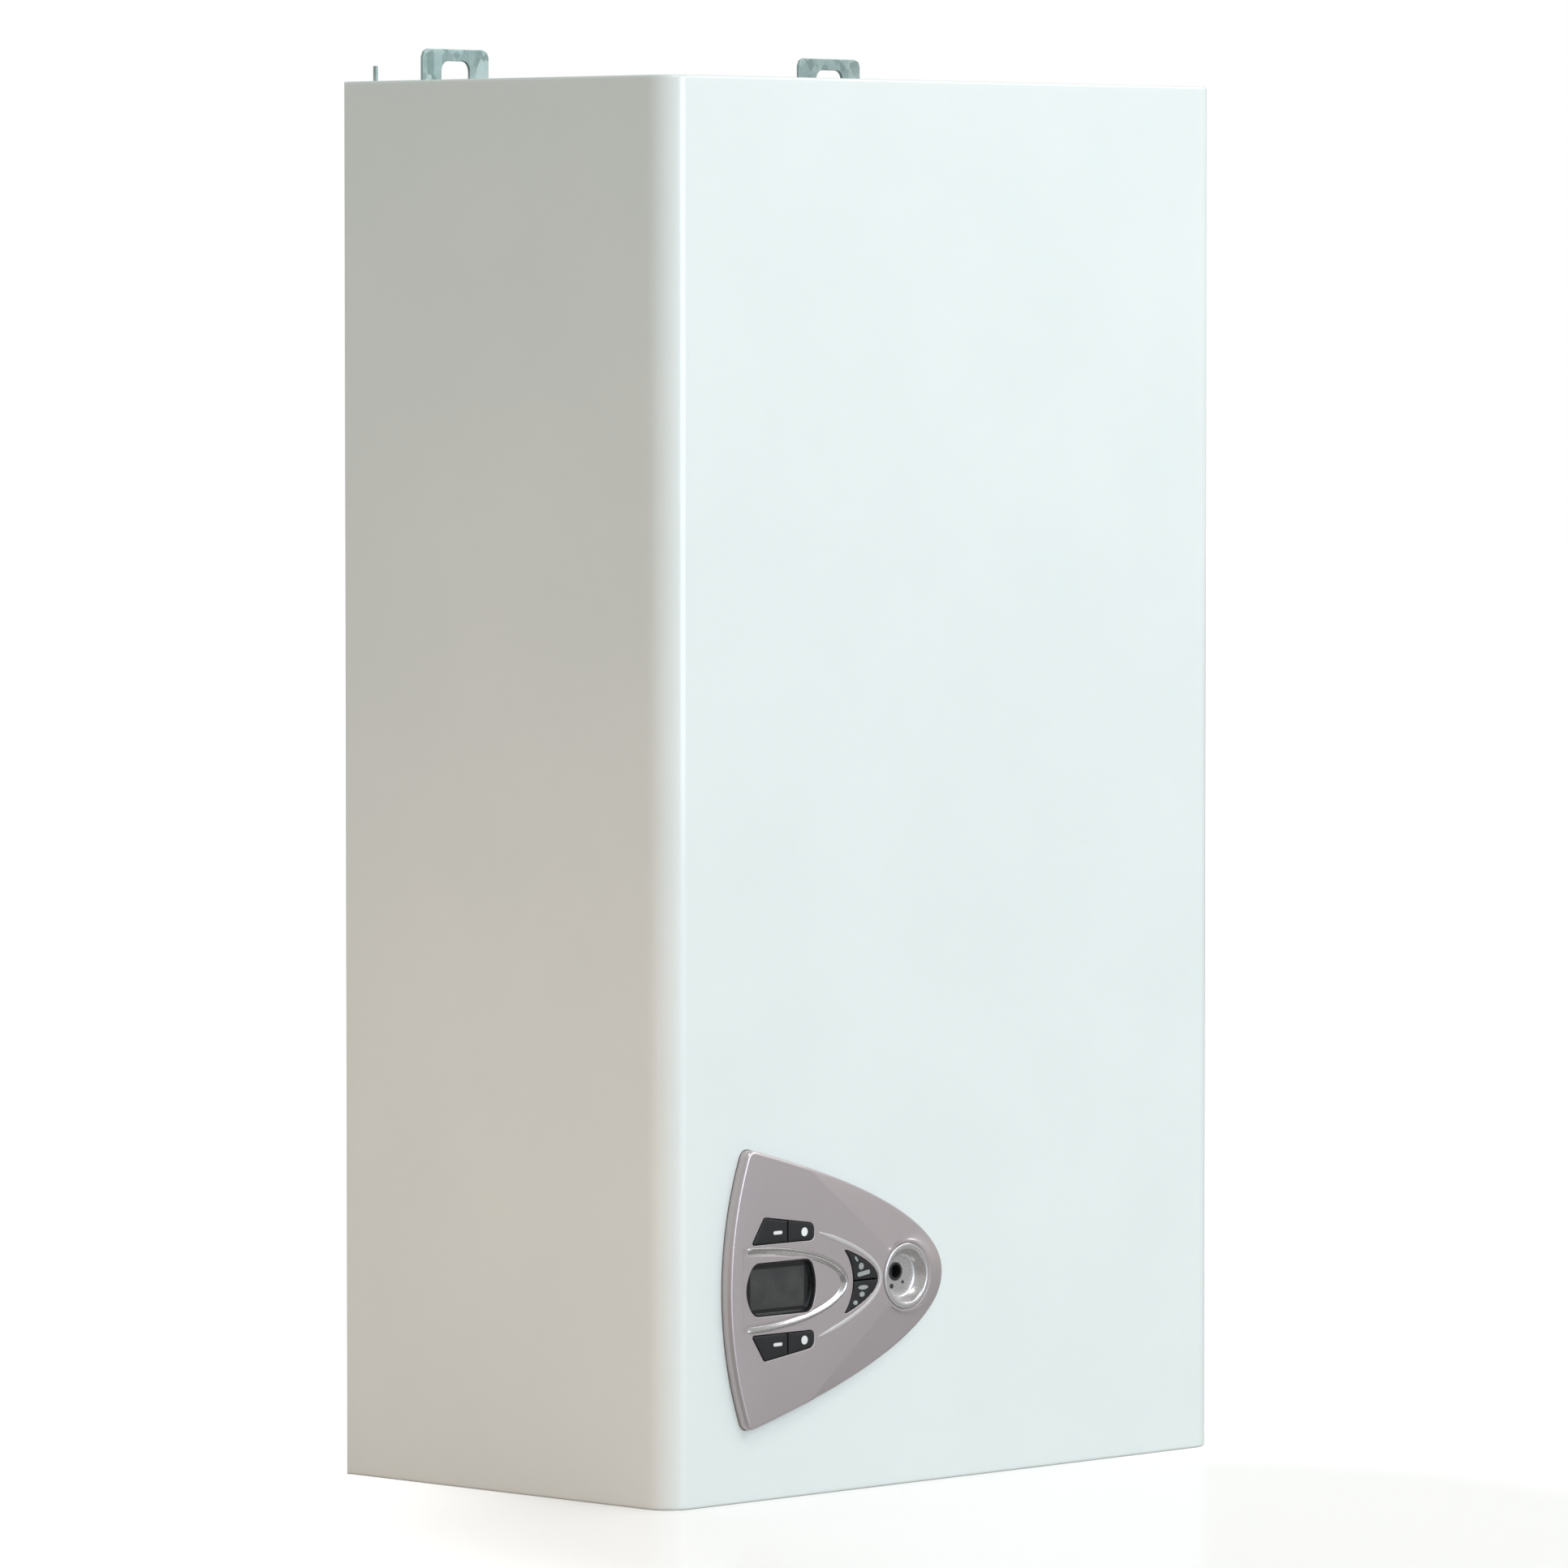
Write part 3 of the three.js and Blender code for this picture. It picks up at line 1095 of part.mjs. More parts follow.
// A row of narrow blades that the gas burns along, joined by a rail at the front and the back.
function burner(boiler) {
  const first = UNIT_X - (BLADE_PITCH * (BURNER_BLADES - 1)) / 2;
  const low = BURNER_Z;
  const high = BURNER_Z + BURNER_HEIGHT;
  const front = UNIT_FRONT + BLADE_FRONT_ROOM;
  const back = UNIT_BACK - BURNER_RAIL;
  const wide = BLADE_WIDTH / 2;
  const neck = BLADE_NECK / 2;
  const blade = facing(
    outline([
      [-wide * 0.7, low],
      [wide * 0.7, low],
      [wide, low + 10],
      [neck, low + 22],
      [neck, high - 18],
      [wide * 0.8, high - 8],
      [wide * 0.8, high],
      [-wide * 0.8, high],
      [-wide * 0.8, high - 8],
      [-neck, high - 18],
      [-neck, low + 22],
      [-wide, low + 10],
    ]),
    front,
    back,
  );
  const blades = Array.from({ length: BURNER_BLADES }, (_, i) => blade.translate([first + i * BLADE_PITCH, 0, 0]));
  const rail = (y) => block(UNIT_LEFT, UNIT_RIGHT, y, y + BURNER_RAIL, low + 24, high - 20);
  const side = (x) => block(x, x + 2, front, back, low + 24, high);
  const rails = [rail(front), rail(back - 1), side(UNIT_LEFT), side(UNIT_RIGHT - 2)];
  add(boiler, "burner", join(...rails, ...blades), STEEL);
  const barY = front - MANIFOLD_ROOM - JET_LENGTH;
  const barZ = low + 9;
  const bar = rod(MANIFOLD_RADIUS, UNIT_WIDTH - 8, [UNIT_LEFT + 4, barY, barZ], X_AXIS, 12);
  const foot = rod(MANIFOLD_RADIUS, barZ - FLOOR_Z - MANIFOLD_RADIUS, [UNIT_X, barY, barZ], DOWN, 12);
  const jets = Array.from({ length: BURNER_BLADES }, (_, i) =>
    rod(JET_RADIUS, JET_LENGTH + MANIFOLD_ROOM - GAP, [first + i * BLADE_PITCH, barY, barZ], Y_AXIS, 6),
  );
  add(boiler, "gas_manifold", join(bar, foot, ...jets), BRASS);
}

// The ignition and flame-sensing electrodes on their shared holder at the burner's front rail.
function electrodes(boiler) {
  const y = UNIT_FRONT + BLADE_FRONT_ROOM - GAP;
  const x = UNIT_X + ELECTRODE_OFFSET;
  const z = BURNER_Z + BURNER_HEIGHT / 2;
  const half = ELECTRODE_HOLDER / 2;
  const holder = block(x - half, x + half, y - 5, y, z, z + 8);
  const pins = [-ELECTRODE_SPACING / 2, ELECTRODE_SPACING / 2].flatMap((dx) => [
    rod(ELECTRODE_BODY, 30, [x + dx, y - 6, z - 12], Z_AXIS, 10),
    rod(ELECTRODE_RADIUS, 16, [x + dx, y - 6, z + 17], Z_AXIS, 8),
  ]);
  add(boiler, "ignition_electrodes", join(holder, ...pins), FIBRE);
}

// Thin upright fins on flattened water tubes, which turn back in round bends outside the two
// end plates. The heating water makes three passes and the tap water one.
function heatExchanger(boiler) {
  const low = EXCHANGER_Z;
  const high = EXCHANGER_Z + EXCHANGER_HEIGHT;
  const middle = (low + high) / 2;
  const span = UNIT_WIDTH - 2 * UNIT_SHEET - FIN_THICK;
  const fin = block(0, FIN_THICK, UNIT_FRONT + FIN_MARGIN, UNIT_BACK - FIN_MARGIN, low + 4, high - 4);
  const fins = Array.from({ length: FIN_COUNT }, (_, i) =>
    fin.translate([UNIT_LEFT + UNIT_SHEET + (span * i) / (FIN_COUNT - 1), 0, 0]),
  );
  const plate = (x) => block(x, x + 2, UNIT_FRONT, UNIT_BACK, low, high);
  const rail = (y) => block(UNIT_LEFT, UNIT_RIGHT, y, y + 1.5, low, high);
  const halfW = WATER_TUBE_WIDTH / 2;
  const halfH = WATER_TUBE_HEIGHT / 2;
  const oval = outline(ringPoints(1, 6).map(([u, v]) => [v * halfW, u * halfH]));
  const tube = sideways(oval, UNIT_LEFT - 3, UNIT_RIGHT + 3);
  const tubes = Array.from({ length: WATER_TUBES }, (_, i) => tube.translate([0, tubeY(i), middle]));
  const bend = (x, i, way) =>
    pipe(
      halfW,
      [
        [x, tubeY(i), middle],
        [x + way * BEND_REACH, tubeY(i), middle],
        [x + way * BEND_REACH, tubeY(i + 1), middle],
        [x, tubeY(i + 1), middle],
      ],
      BEND_REACH * 0.6,
      8,
    );
  const bends = [bend(UNIT_LEFT, 2, -1), bend(UNIT_RIGHT, 1, 1)];
  add(
    boiler,
    "heat_exchanger",
    join(plate(UNIT_LEFT), plate(UNIT_RIGHT - 2), rail(UNIT_FRONT), rail(UNIT_BACK - 1.5), ...fins, ...tubes, ...bends),
    COPPER,
  );
}

// The hood gathers the burnt gas over the exchanger and leads it up behind the fan.
function flueHood(boiler) {
  const riserLeft = FAN_X - HOOD_RISER_HALF;
  const riserRight = FAN_X + HOOD_RISER_HALF;
  const riserFront = FAN_BACK + GAP;
  const panTop = HOOD_Z + HOOD_PAN;
  const shoulder = panTop + HOOD_SHOULDER;
  const top = FAN_Z + FAN_INLET + 10;
  const ring = (left, right, front, back, z) => [
    [left, front, z],
    [right, front, z],
    [right, back, z],
    [left, back, z],
  ];
  const shape = (t) =>
    loft(
      [
        ring(UNIT_LEFT + t, UNIT_RIGHT - t, UNIT_FRONT + t, UNIT_BACK - t, HOOD_Z - t),
        ring(UNIT_LEFT + t, UNIT_RIGHT - t, UNIT_FRONT + t, UNIT_BACK - t, panTop - t),
        ring(riserLeft + t, riserRight - t, riserFront + t, UNIT_BACK - t, shoulder - t),
        ring(riserLeft + t, riserRight - t, riserFront + t, UNIT_BACK - t, top - t),
      ],
      ([x, y]) => [x, y],
    );
  const inlet = rod(FAN_INLET, 6, [FAN_X, riserFront - 1, FAN_Z], Y_AXIS, 20);
  add(boiler, "flue_hood", cut(shape(0), shape(UNIT_SHEET), inlet), GALVANISED);
}

// ---------------------------------------------------------------- fan
// A scroll whose radius grows from the tongue round to the neck that leads up to the flue.
function scrollOutline(by, neckTop) {
  const points = [];
  for (let i = 0; i <= FAN_STEPS; i++) {
    const t = i / FAN_STEPS;
    const angle = Math.PI + t * 1.5 * Math.PI;
    const radius = FAN_RADIUS_WIDE + (FAN_RADIUS_TIGHT - FAN_RADIUS_WIDE) * t - by;
    points.push([radius * Math.cos(angle), radius * Math.sin(angle)]);
  }
  const left = -FAN_RADIUS_WIDE + by;
  const right = left + FAN_WIDTH - 2 * by;
  return outline([[left, neckTop], ...points, [right, FAN_RADIUS_TIGHT - by], [right, neckTop]]);
}

function fan(boiler) {
  const group = groupAt(boiler, FAN_X, FLUE_Y, FAN_Z);
  const half = FAN_WIDTH / 2;
  const neckTop = NECK_TOP - FAN_Z;
  const housing = cut(
    facing(scrollOutline(0, neckTop), -half, half),
    facing(scrollOutline(FAN_SHEET, neckTop + 1), -half + FAN_SHEET, half - FAN_SHEET),
    rod(FAN_INLET, FAN_SHEET + 2, [0, half - FAN_SHEET - 1, 0], Y_AXIS, 20),
    rod(HUB_RADIUS, FAN_SHEET + 2, [0, -half - 1, 0], Y_AXIS, 16),
  );
  add(group, "fan_housing", housing, GALVANISED);
  const wheel = IMPELLER_WIDTH / 2;
  const radius = IMPELLER_RADIUS;
  const blade = block(-IMPELLER_PLATE / 2, IMPELLER_PLATE / 2, -wheel + 0.5, wheel - 0.5, -BLADE_DEPTH / 2, BLADE_DEPTH / 2);
  const blades = Array.from({ length: IMPELLER_BLADES }, (_, i) =>
    blade
      .rotate([0, (BLADE_LEAN * 180) / Math.PI, 0])
      .translate([0, 0, radius - BLADE_DEPTH / 2])
      .rotate([0, (360 * i) / IMPELLER_BLADES, 0]),
  );
  const backPlate = rod(radius, IMPELLER_PLATE, [0, -wheel, 0], Y_AXIS, 24);
  const ring = cut(
    rod(radius, IMPELLER_PLATE, [0, wheel - IMPELLER_PLATE, 0], Y_AXIS, 24),
    rod(radius - BLADE_DEPTH, IMPELLER_PLATE + 2, [0, wheel - IMPELLER_PLATE - 1, 0], Y_AXIS, 24),
  );
  const shaftEnd = -half - MOTOR_POST - SHAFT_LENGTH;
  const hub = rod(HUB_RADIUS - 1, 12, [0, -wheel, 0], Y_AXIS, 12);
  const shaft = rod(SHAFT_RADIUS, -wheel + 1 - shaftEnd, [0, shaftEnd, 0], Y_AXIS, 12);
  add(group, "fan_impeller", join(backPlate, ring, hub, shaft, ...blades), STEEL);
  const back = -half - MOTOR_POST;
  const front = back - MOTOR_STACK_LENGTH;
  const side = MOTOR_STACK / 2;
  const stack = facing(roundedRectangle(-side, side, -side, side, 8), front, back, 3);
  const bell = rod(MOTOR_BELL, MOTOR_BELL_LENGTH + 1, [0, front - MOTOR_BELL_LENGTH, 0], Y_AXIS, 20);
  const nose = rod(HUB_RADIUS + 2, 4, [0, back - 0.5, 0], Y_AXIS, 16);
  const corner = side - 6;
  const posts = [[-1, -1], [1, -1], [-1, 1], [1, 1]].map(([u, v]) =>
    rod(3, MOTOR_POST + 1 - GAP, [(u * corner) / 1.2, back - 1, (v * corner) / 1.2], Y_AXIS, 8),
  );
  const bore = rod(SHAFT_RADIUS + GAP, MOTOR_POST + SHAFT_LENGTH + 1, [0, shaftEnd - 1, 0], Y_AXIS, 16);
  add(group, "fan_motor", cut(join(stack, bell, nose, ...posts), bore), CAST_ALLOY);
}

// ---------------------------------------------------------------- flue and air
function topFittings(boiler) {
  const seat = CHAMBER_TOP + GAP;
  const low = NECK_TOP - FLUE_DIP / 2;
  const collar = turned(
    [
      [FLUE_BORE, low],
      [FLUE_BORE + FLUE_WALL, low],
      [FLUE_BORE + FLUE_WALL, seat],
      [FLUE_FLANGE, seat],
      [FLUE_FLANGE, seat + FLUE_FLANGE_THICK],
      [FLUE_BORE, seat + FLUE_FLANGE_THICK],
      [FLUE_BORE, low],
    ],
    [0, FLUE_Y, 0],
    Z_AXIS,
    32,
  );
  add(boiler, "flue_collar", collar, CAST_ALLOY);
  for (const [name, x] of [["air_inlet_plate_left", -AIR_OFFSET], ["air_inlet_plate_right", AIR_OFFSET]]) {
    const plate = turned(
      [
        [0, 0],
        [AIR_RADIUS - 6, 0],
        [AIR_RADIUS - 6 + AIR_EMBOSS, AIR_EMBOSS],
        [AIR_PLATE_RADIUS, AIR_EMBOSS],
        [AIR_PLATE_RADIUS, AIR_EMBOSS + AIR_PLATE_THICK],
        [AIR_RADIUS - 6, AIR_EMBOSS + AIR_PLATE_THICK],
        [AIR_RADIUS - 6 - AIR_EMBOSS, AIR_PLATE_THICK],
        [0, AIR_PLATE_THICK],
      ],
      [x, FLUE_Y, seat - AIR_EMBOSS],
      Z_AXIS,
      24,
    );
    add(boiler, name, plate, GALVANISED);
  }
}

function airPressureSwitch(boiler) {
  const wall = FRAME_HALF - CHAMBER_SHEET - GAP;
  const y = CHAMBER_FRONT + SWITCH_FRONT;
  const z = CHAMBER_TOP - SWITCH_DROP;
  const body = turned(
    [
      [0, 0],
      [8, 0],
      [8, 4],
      [SWITCH_RADIUS, 8],
      [SWITCH_RADIUS, 14],
      [SWITCH_RADIUS - 6, 20],
      [10, SWITCH_DEPTH - 4],
      [10, SWITCH_DEPTH],
      [0, SWITCH_DEPTH],
    ],
    [wall, y, z],
    new THREE.Vector3(-1, 0, 0),
    24,
  );
  const nipples = [-10, 10].map((dz) => rod(2.5, 26, [wall - SWITCH_DEPTH + 12, y + dz, z - 10], DOWN, 8));
  add(boiler, "air_pressure_switch", join(body, ...nipples), WHITE_PAINT);
}

// ---------------------------------------------------------------- expansion vessel
// A pillow: a rounded slab between two planes across X, by less than its outside all round.
function pillow(by) {
  const b = VESSEL_ROUND - by / 2;
  const inner = VESSEL_SEAM + by + b;
  const section = roundedRectangle(
    UNIT_BACK - VESSEL_DEPTH + inner,
    UNIT_BACK - inner,
    VESSEL_Z + inner,
    VESSEL_TOP - inner,
    VESSEL_CORNER - VESSEL_ROUND,
  );
  const shape = new THREE.ExtrudeGeometry(section, {
    depth: VESSEL_THICK - 2 * (b + by),
    bevelThickness: b,
    bevelSize: b,
    bevelSegments: 2,
    curveSegments: 3,
  });
  shape.applyMatrix4(new THREE.Matrix4().makeBasis(Y_AXIS, Z_AXIS, X_AXIS));
  return solid(shape.translate(VESSEL_LEFT + b + by, 0, 0));
}

// Two pressed half shells joined at a seam, seen as a thick rounded slab, with a stub below that
// the water comes in by.
function expansionVessel(boiler) {
  const seam = sideways(
    roundedRectangle(UNIT_BACK - VESSEL_DEPTH, UNIT_BACK, VESSEL_Z, VESSEL_TOP, VESSEL_CORNER),
    VESSEL_X - VESSEL_SEAM_THICK / 2,
    VESSEL_X + VESSEL_SEAM_THICK / 2,
    4,
  );
  const stubStart = VESSEL_Z + VESSEL_CORNER;
  const stubEnd = VESSEL_Z - VESSEL_STUB;
  const stub = rod(VESSEL_STUB, stubStart - stubEnd, [VESSEL_X, HOSE_Y, stubStart], DOWN, 12);
  const bore = rod(VESSEL_BORE, stubStart - stubEnd + 1, [VESSEL_X, HOSE_Y, stubStart], DOWN, 8);
  const shell = cut(join(pillow(0), seam, stub), pillow(VESSEL_WALL), bore);
  add(boiler, "expansion_vessel", shell, RED);
  const pumpSide = PUMP_X - PUMP_RADIUS;
  const hose = pipe(
    HOSE_RADIUS,
    [
      [VESSEL_X, HOSE_Y, stubEnd - GAP],
      [VESSEL_X, HOSE_Y, CHAMBER_FLOOR - 40],
      [VESSEL_X + 60, PUMP_Y, CHAMBER_FLOOR - 60],
      [pumpSide - 60, PUMP_Y, PUMP_LEVEL],
      [pumpSide - 8 - GAP, PUMP_Y, PUMP_LEVEL],
    ],
    HOSE_BEND,
    8,
  );
  add(boiler, "vessel_hose", hose, DARK_RUBBER);
}

// ---------------------------------------------------------------- water and gas side
const UNIONS = [
  ["union_heating_flow", -2, true],
  ["union_hot_water", -1, false],
  ["union_cold_water", 1, false],
  ["union_heating_return", 2, true],
];

function pipeBracket(boiler) {
  const half = BRACKET_WIDTH / 2;
  const s = BRACKET_SHEET;
  const rear = WALL_Y - FRAME_SHEET - GAP;
  const front = BOX_BACK + GAP;
  const low = BRACKET_LEVEL;
  const profile = outline([
    [front, low],
    [rear, low],
    [rear, low + BRACKET_REAR_FLANGE],
    [rear - s, low + BRACKET_REAR_FLANGE],
    [rear - s, low + s],
    [front + s, low + s],
    [front + s, low + BRACKET_FRONT_FLANGE],
    [front, low + BRACKET_FRONT_FLANGE],
  ]);
  const hole = (x, y, r) => rod(r + GAP, 4 * s, [x, y, low - s], Z_AXIS, 20);
  const holes = [
    ...UNIONS.map(([, at, large]) => hole(at * PIPE_PITCH, PIPE_Y, large ? LARGE_TAIL : SMALL_TAIL)),
    hole(0, PIPE_Y, LARGE_TAIL),
    hole(PIPE_PITCH - FILL_ARM, PIPE_Y, FILL_RADIUS),
    hole(-GAUGE_X, GAUGE_Y, GAUGE_RADIUS - 2),
    hole(-GLAND_X, GLAND_Y, GLAND_RADIUS - 2),
  ];
  add(boiler, "pipe_bracket", cut(sideways(profile, -half, half), ...holes), GALVANISED);
}

// A threaded tail under the bracket, a hexagon that seats on it and a neck over that.
function unionPiece(tail, bore, hex, neckTop) {
  const seat = BRACKET_LEVEL + BRACKET_SHEET + GAP;
  const round = turned(
    [
      [0, UNION_END],
      [tail - 1, UNION_END],
      [tail, UNION_END + 1],
      [tail, seat + 1],
      [tail - 1, seat + HEX_HEIGHT],
      [tail - 1, neckTop],
      [0, neckTop],
    ],
    [0, 0, 0],
    Z_AXIS,
    20,
  );
  const nut = upright(disc(hex, 6), seat, seat + HEX_HEIGHT);
  return cut(join(round, nut), rod(bore, BORE_DEPTH, [0, 0, UNION_END - 1], Z_AXIS, 20));
}

function unions(boiler) {
  for (const [name, at, large] of UNIONS) {
    const size = large ? [LARGE_TAIL, LARGE_BORE, LARGE_HEX] : [SMALL_TAIL, SMALL_BORE, SMALL_HEX];
    const group = groupAt(boiler, at * PIPE_PITCH, PIPE_Y, 0);
    add(group, name, unionPiece(...size, UNION_TOP), BRASS);
  }
  const gasTop = GAS_BODY_LEVEL - GAP;
  const inlet = groupAt(boiler, 0, PIPE_Y, 0);
  add(inlet, "gas_inlet_pipe", unionPiece(LARGE_TAIL, LARGE_BORE, LARGE_HEX, gasTop), BRASS);
}

// A cast block over two unions: two upright barrels and the cross passage between them.
function castBlock(side) {
  const near = side * PIPE_PITCH;
  const far = side * 2 * PIPE_PITCH;
  const barrel = (x, r) =>
    turned(
      [
        [0, BLOCK_Z],
        [r, BLOCK_Z],
        [r, BLOCK_Z + 8],
        [r - 2, BLOCK_Z + 12],
        [r - 2, BLOCK_TOP - 12],
        [r, BLOCK_TOP - 8],
        [r, BLOCK_TOP],
        [0, BLOCK_TOP],
      ],
      [x, PIPE_Y, 0],
      Z_AXIS,
      16,
    );
  const crossZ = (BLOCK_Z + BLOCK_TOP) / 2;
  const cross = rod(BLOCK_CROSS, PIPE_PITCH, [Math.min(near, far), PIPE_Y, crossZ], X_AXIS, 12);
  return join(barrel(near, BLOCK_RADIUS), barrel(far, BLOCK_RADIUS), cross);
}

function waterBlocks(boiler) {
  const crossZ = (BLOCK_Z + BLOCK_TOP) / 2;
  const flowBoss = rod(9, 30, [-1.5 * PIPE_PITCH, PIPE_Y, crossZ], FORWARD, 12);
  const flowSwitch = block(
    -1.5 * PIPE_PITCH - 12,
    -1.5 * PIPE_PITCH + 12,
    PIPE_Y - 44,
    PIPE_Y - 26,
    crossZ - 12,
    crossZ + 12,
  );
  add(boiler, "flow_block", join(castBlock(-1), flowBoss, flowSwitch), BRASS);
  const fillX = PIPE_PITCH - FILL_ARM;
  const arm = rod(FILL_RADIUS, FILL_ARM, [fillX, PIPE_Y, crossZ], X_AXIS, 12);
  const drop = rod(FILL_RADIUS, crossZ + FILL_RADIUS - BRACKET_LEVEL, [fillX, PIPE_Y, crossZ + FILL_RADIUS], DOWN, 12);
  add(boiler, "return_block", join(castBlock(1), arm, drop), BRASS);
  const safety = groupAt(boiler, 1.5 * PIPE_PITCH, PIPE_Y - BLOCK_CROSS - GAP, crossZ);
  const body = turned(
    [
      [0, 0],
      [SAFETY_RADIUS - 3, 0],
      [SAFETY_RADIUS - 3, 5],
      [SAFETY_RADIUS, 8],
      [SAFETY_RADIUS, SAFETY_LENGTH],
      [0, SAFETY_LENGTH],
    ],
    [0, 0, 0],
    FORWARD,
    16,
  );
  const outlet = rod(6, 24, [0, -14, 0], DOWN, 12);
  add(safety, "safety_valve", join(body, outlet), BRASS);
  const knob = groupAt(safety, 0, -SAFETY_LENGTH - GAP, 0);
  add(knob, "safety_valve_knob", lobedKnob(SAFETY_KNOB, SAFETY_KNOB_LENGTH, FORWARD), RED);
  const fill = groupAt(boiler, fillX, PIPE_Y, BRACKET_LEVEL - GAP);
  add(fill, "filling_tap_knob", lobedKnob(FILL_KNOB, FILL_KNOB_LENGTH, DOWN), BLUE);
}

// A hand knob with finger hollows round its edge, from its seat along one way.
function lobedKnob(radius, length, way) {
  const body = turned(
    [
      [0, 0],
      [radius * 0.55, 0],
      [radius * 0.55, length * 0.25],
      [radius, length * 0.4],
      [radius, length - 1.5],
      [radius - 1.5, length],
      [0, length],
    ],
    [0, 0, 0],
    way,
    24,
  );
  const hollow = radius * 0.22;
  const hollows = Array.from({ length: KNOB_LOBES }, (_, i) => {
    const angle = (2 * Math.PI * i) / KNOB_LOBES;
    const u = (radius + hollow * 0.4) * Math.cos(angle);
    const v = (radius + hollow * 0.4) * Math.sin(angle);
    const start = way === DOWN ? [u, v, 1] : [u, 1, v];
    return rod(hollow, length + 2, start, way, 8);
  });
  return cut(body, ...hollows);
}

// The four copper pipes that rise through the chamber's floor to the ends of the exchanger.
function waterPipes(boiler) {
  const start = BLOCK_TOP + GAP;
  const middle = EXCHANGER_Z + EXCHANGER_HEIGHT / 2;
  const left = FLOW_RISE_X;
  const right = RETURN_RISE_X;
  const leftEnd = UNIT_LEFT - 3 - GAP;
  const rightEnd = UNIT_RIGHT + 3 + GAP;
  const across = CHAMBER_FLOOR - 22;
  const routes = {
    heating_flow_pipe: [
      LARGE_PIPE,
      [-2 * PIPE_PITCH, PIPE_Y, start],
      [-2 * PIPE_PITCH, PIPE_Y, start + 40],
      [left, tubeY(1), across - 10],
      [left, tubeY(1), middle],
      [leftEnd, tubeY(1), middle],
    ],
    hot_water_pipe: [
      SMALL_PIPE,
      [-PIPE_PITCH, PIPE_Y, start],
      [-PIPE_PITCH, PIPE_Y, start + 20],
      [left, tubeY(0), across - 10],
      [left, tubeY(0), middle],
      [leftEnd, tubeY(0), middle],
    ],
    cold_water_pipe: [
      SMALL_PIPE,
      [PIPE_PITCH, PIPE_Y, start],
      [PIPE_PITCH, PIPE_Y, across],
      [right, tubeY(0), across],
      [right, tubeY(0), middle],
      [rightEnd, tubeY(0), middle],
    ],
    heating_return_pipe: [
      LARGE_PIPE,
      [right, PUMP_Y, PUMP_LEVEL + PUMP_RADIUS + GAP],
      [right, PUMP_Y, across + 2],
      [right, tubeY(WATER_TUBES - 1), across + 2],
      [right, tubeY(WATER_TUBES - 1), middle],
      [rightEnd, tubeY(WATER_TUBES - 1), middle],
    ],
  };
  for (const [name, [radius, ...corners]] of Object.entries(routes)) {
    add(boiler, name, pipe(radius, corners, radius + BEND_ROOM), COPPER);
  }
}

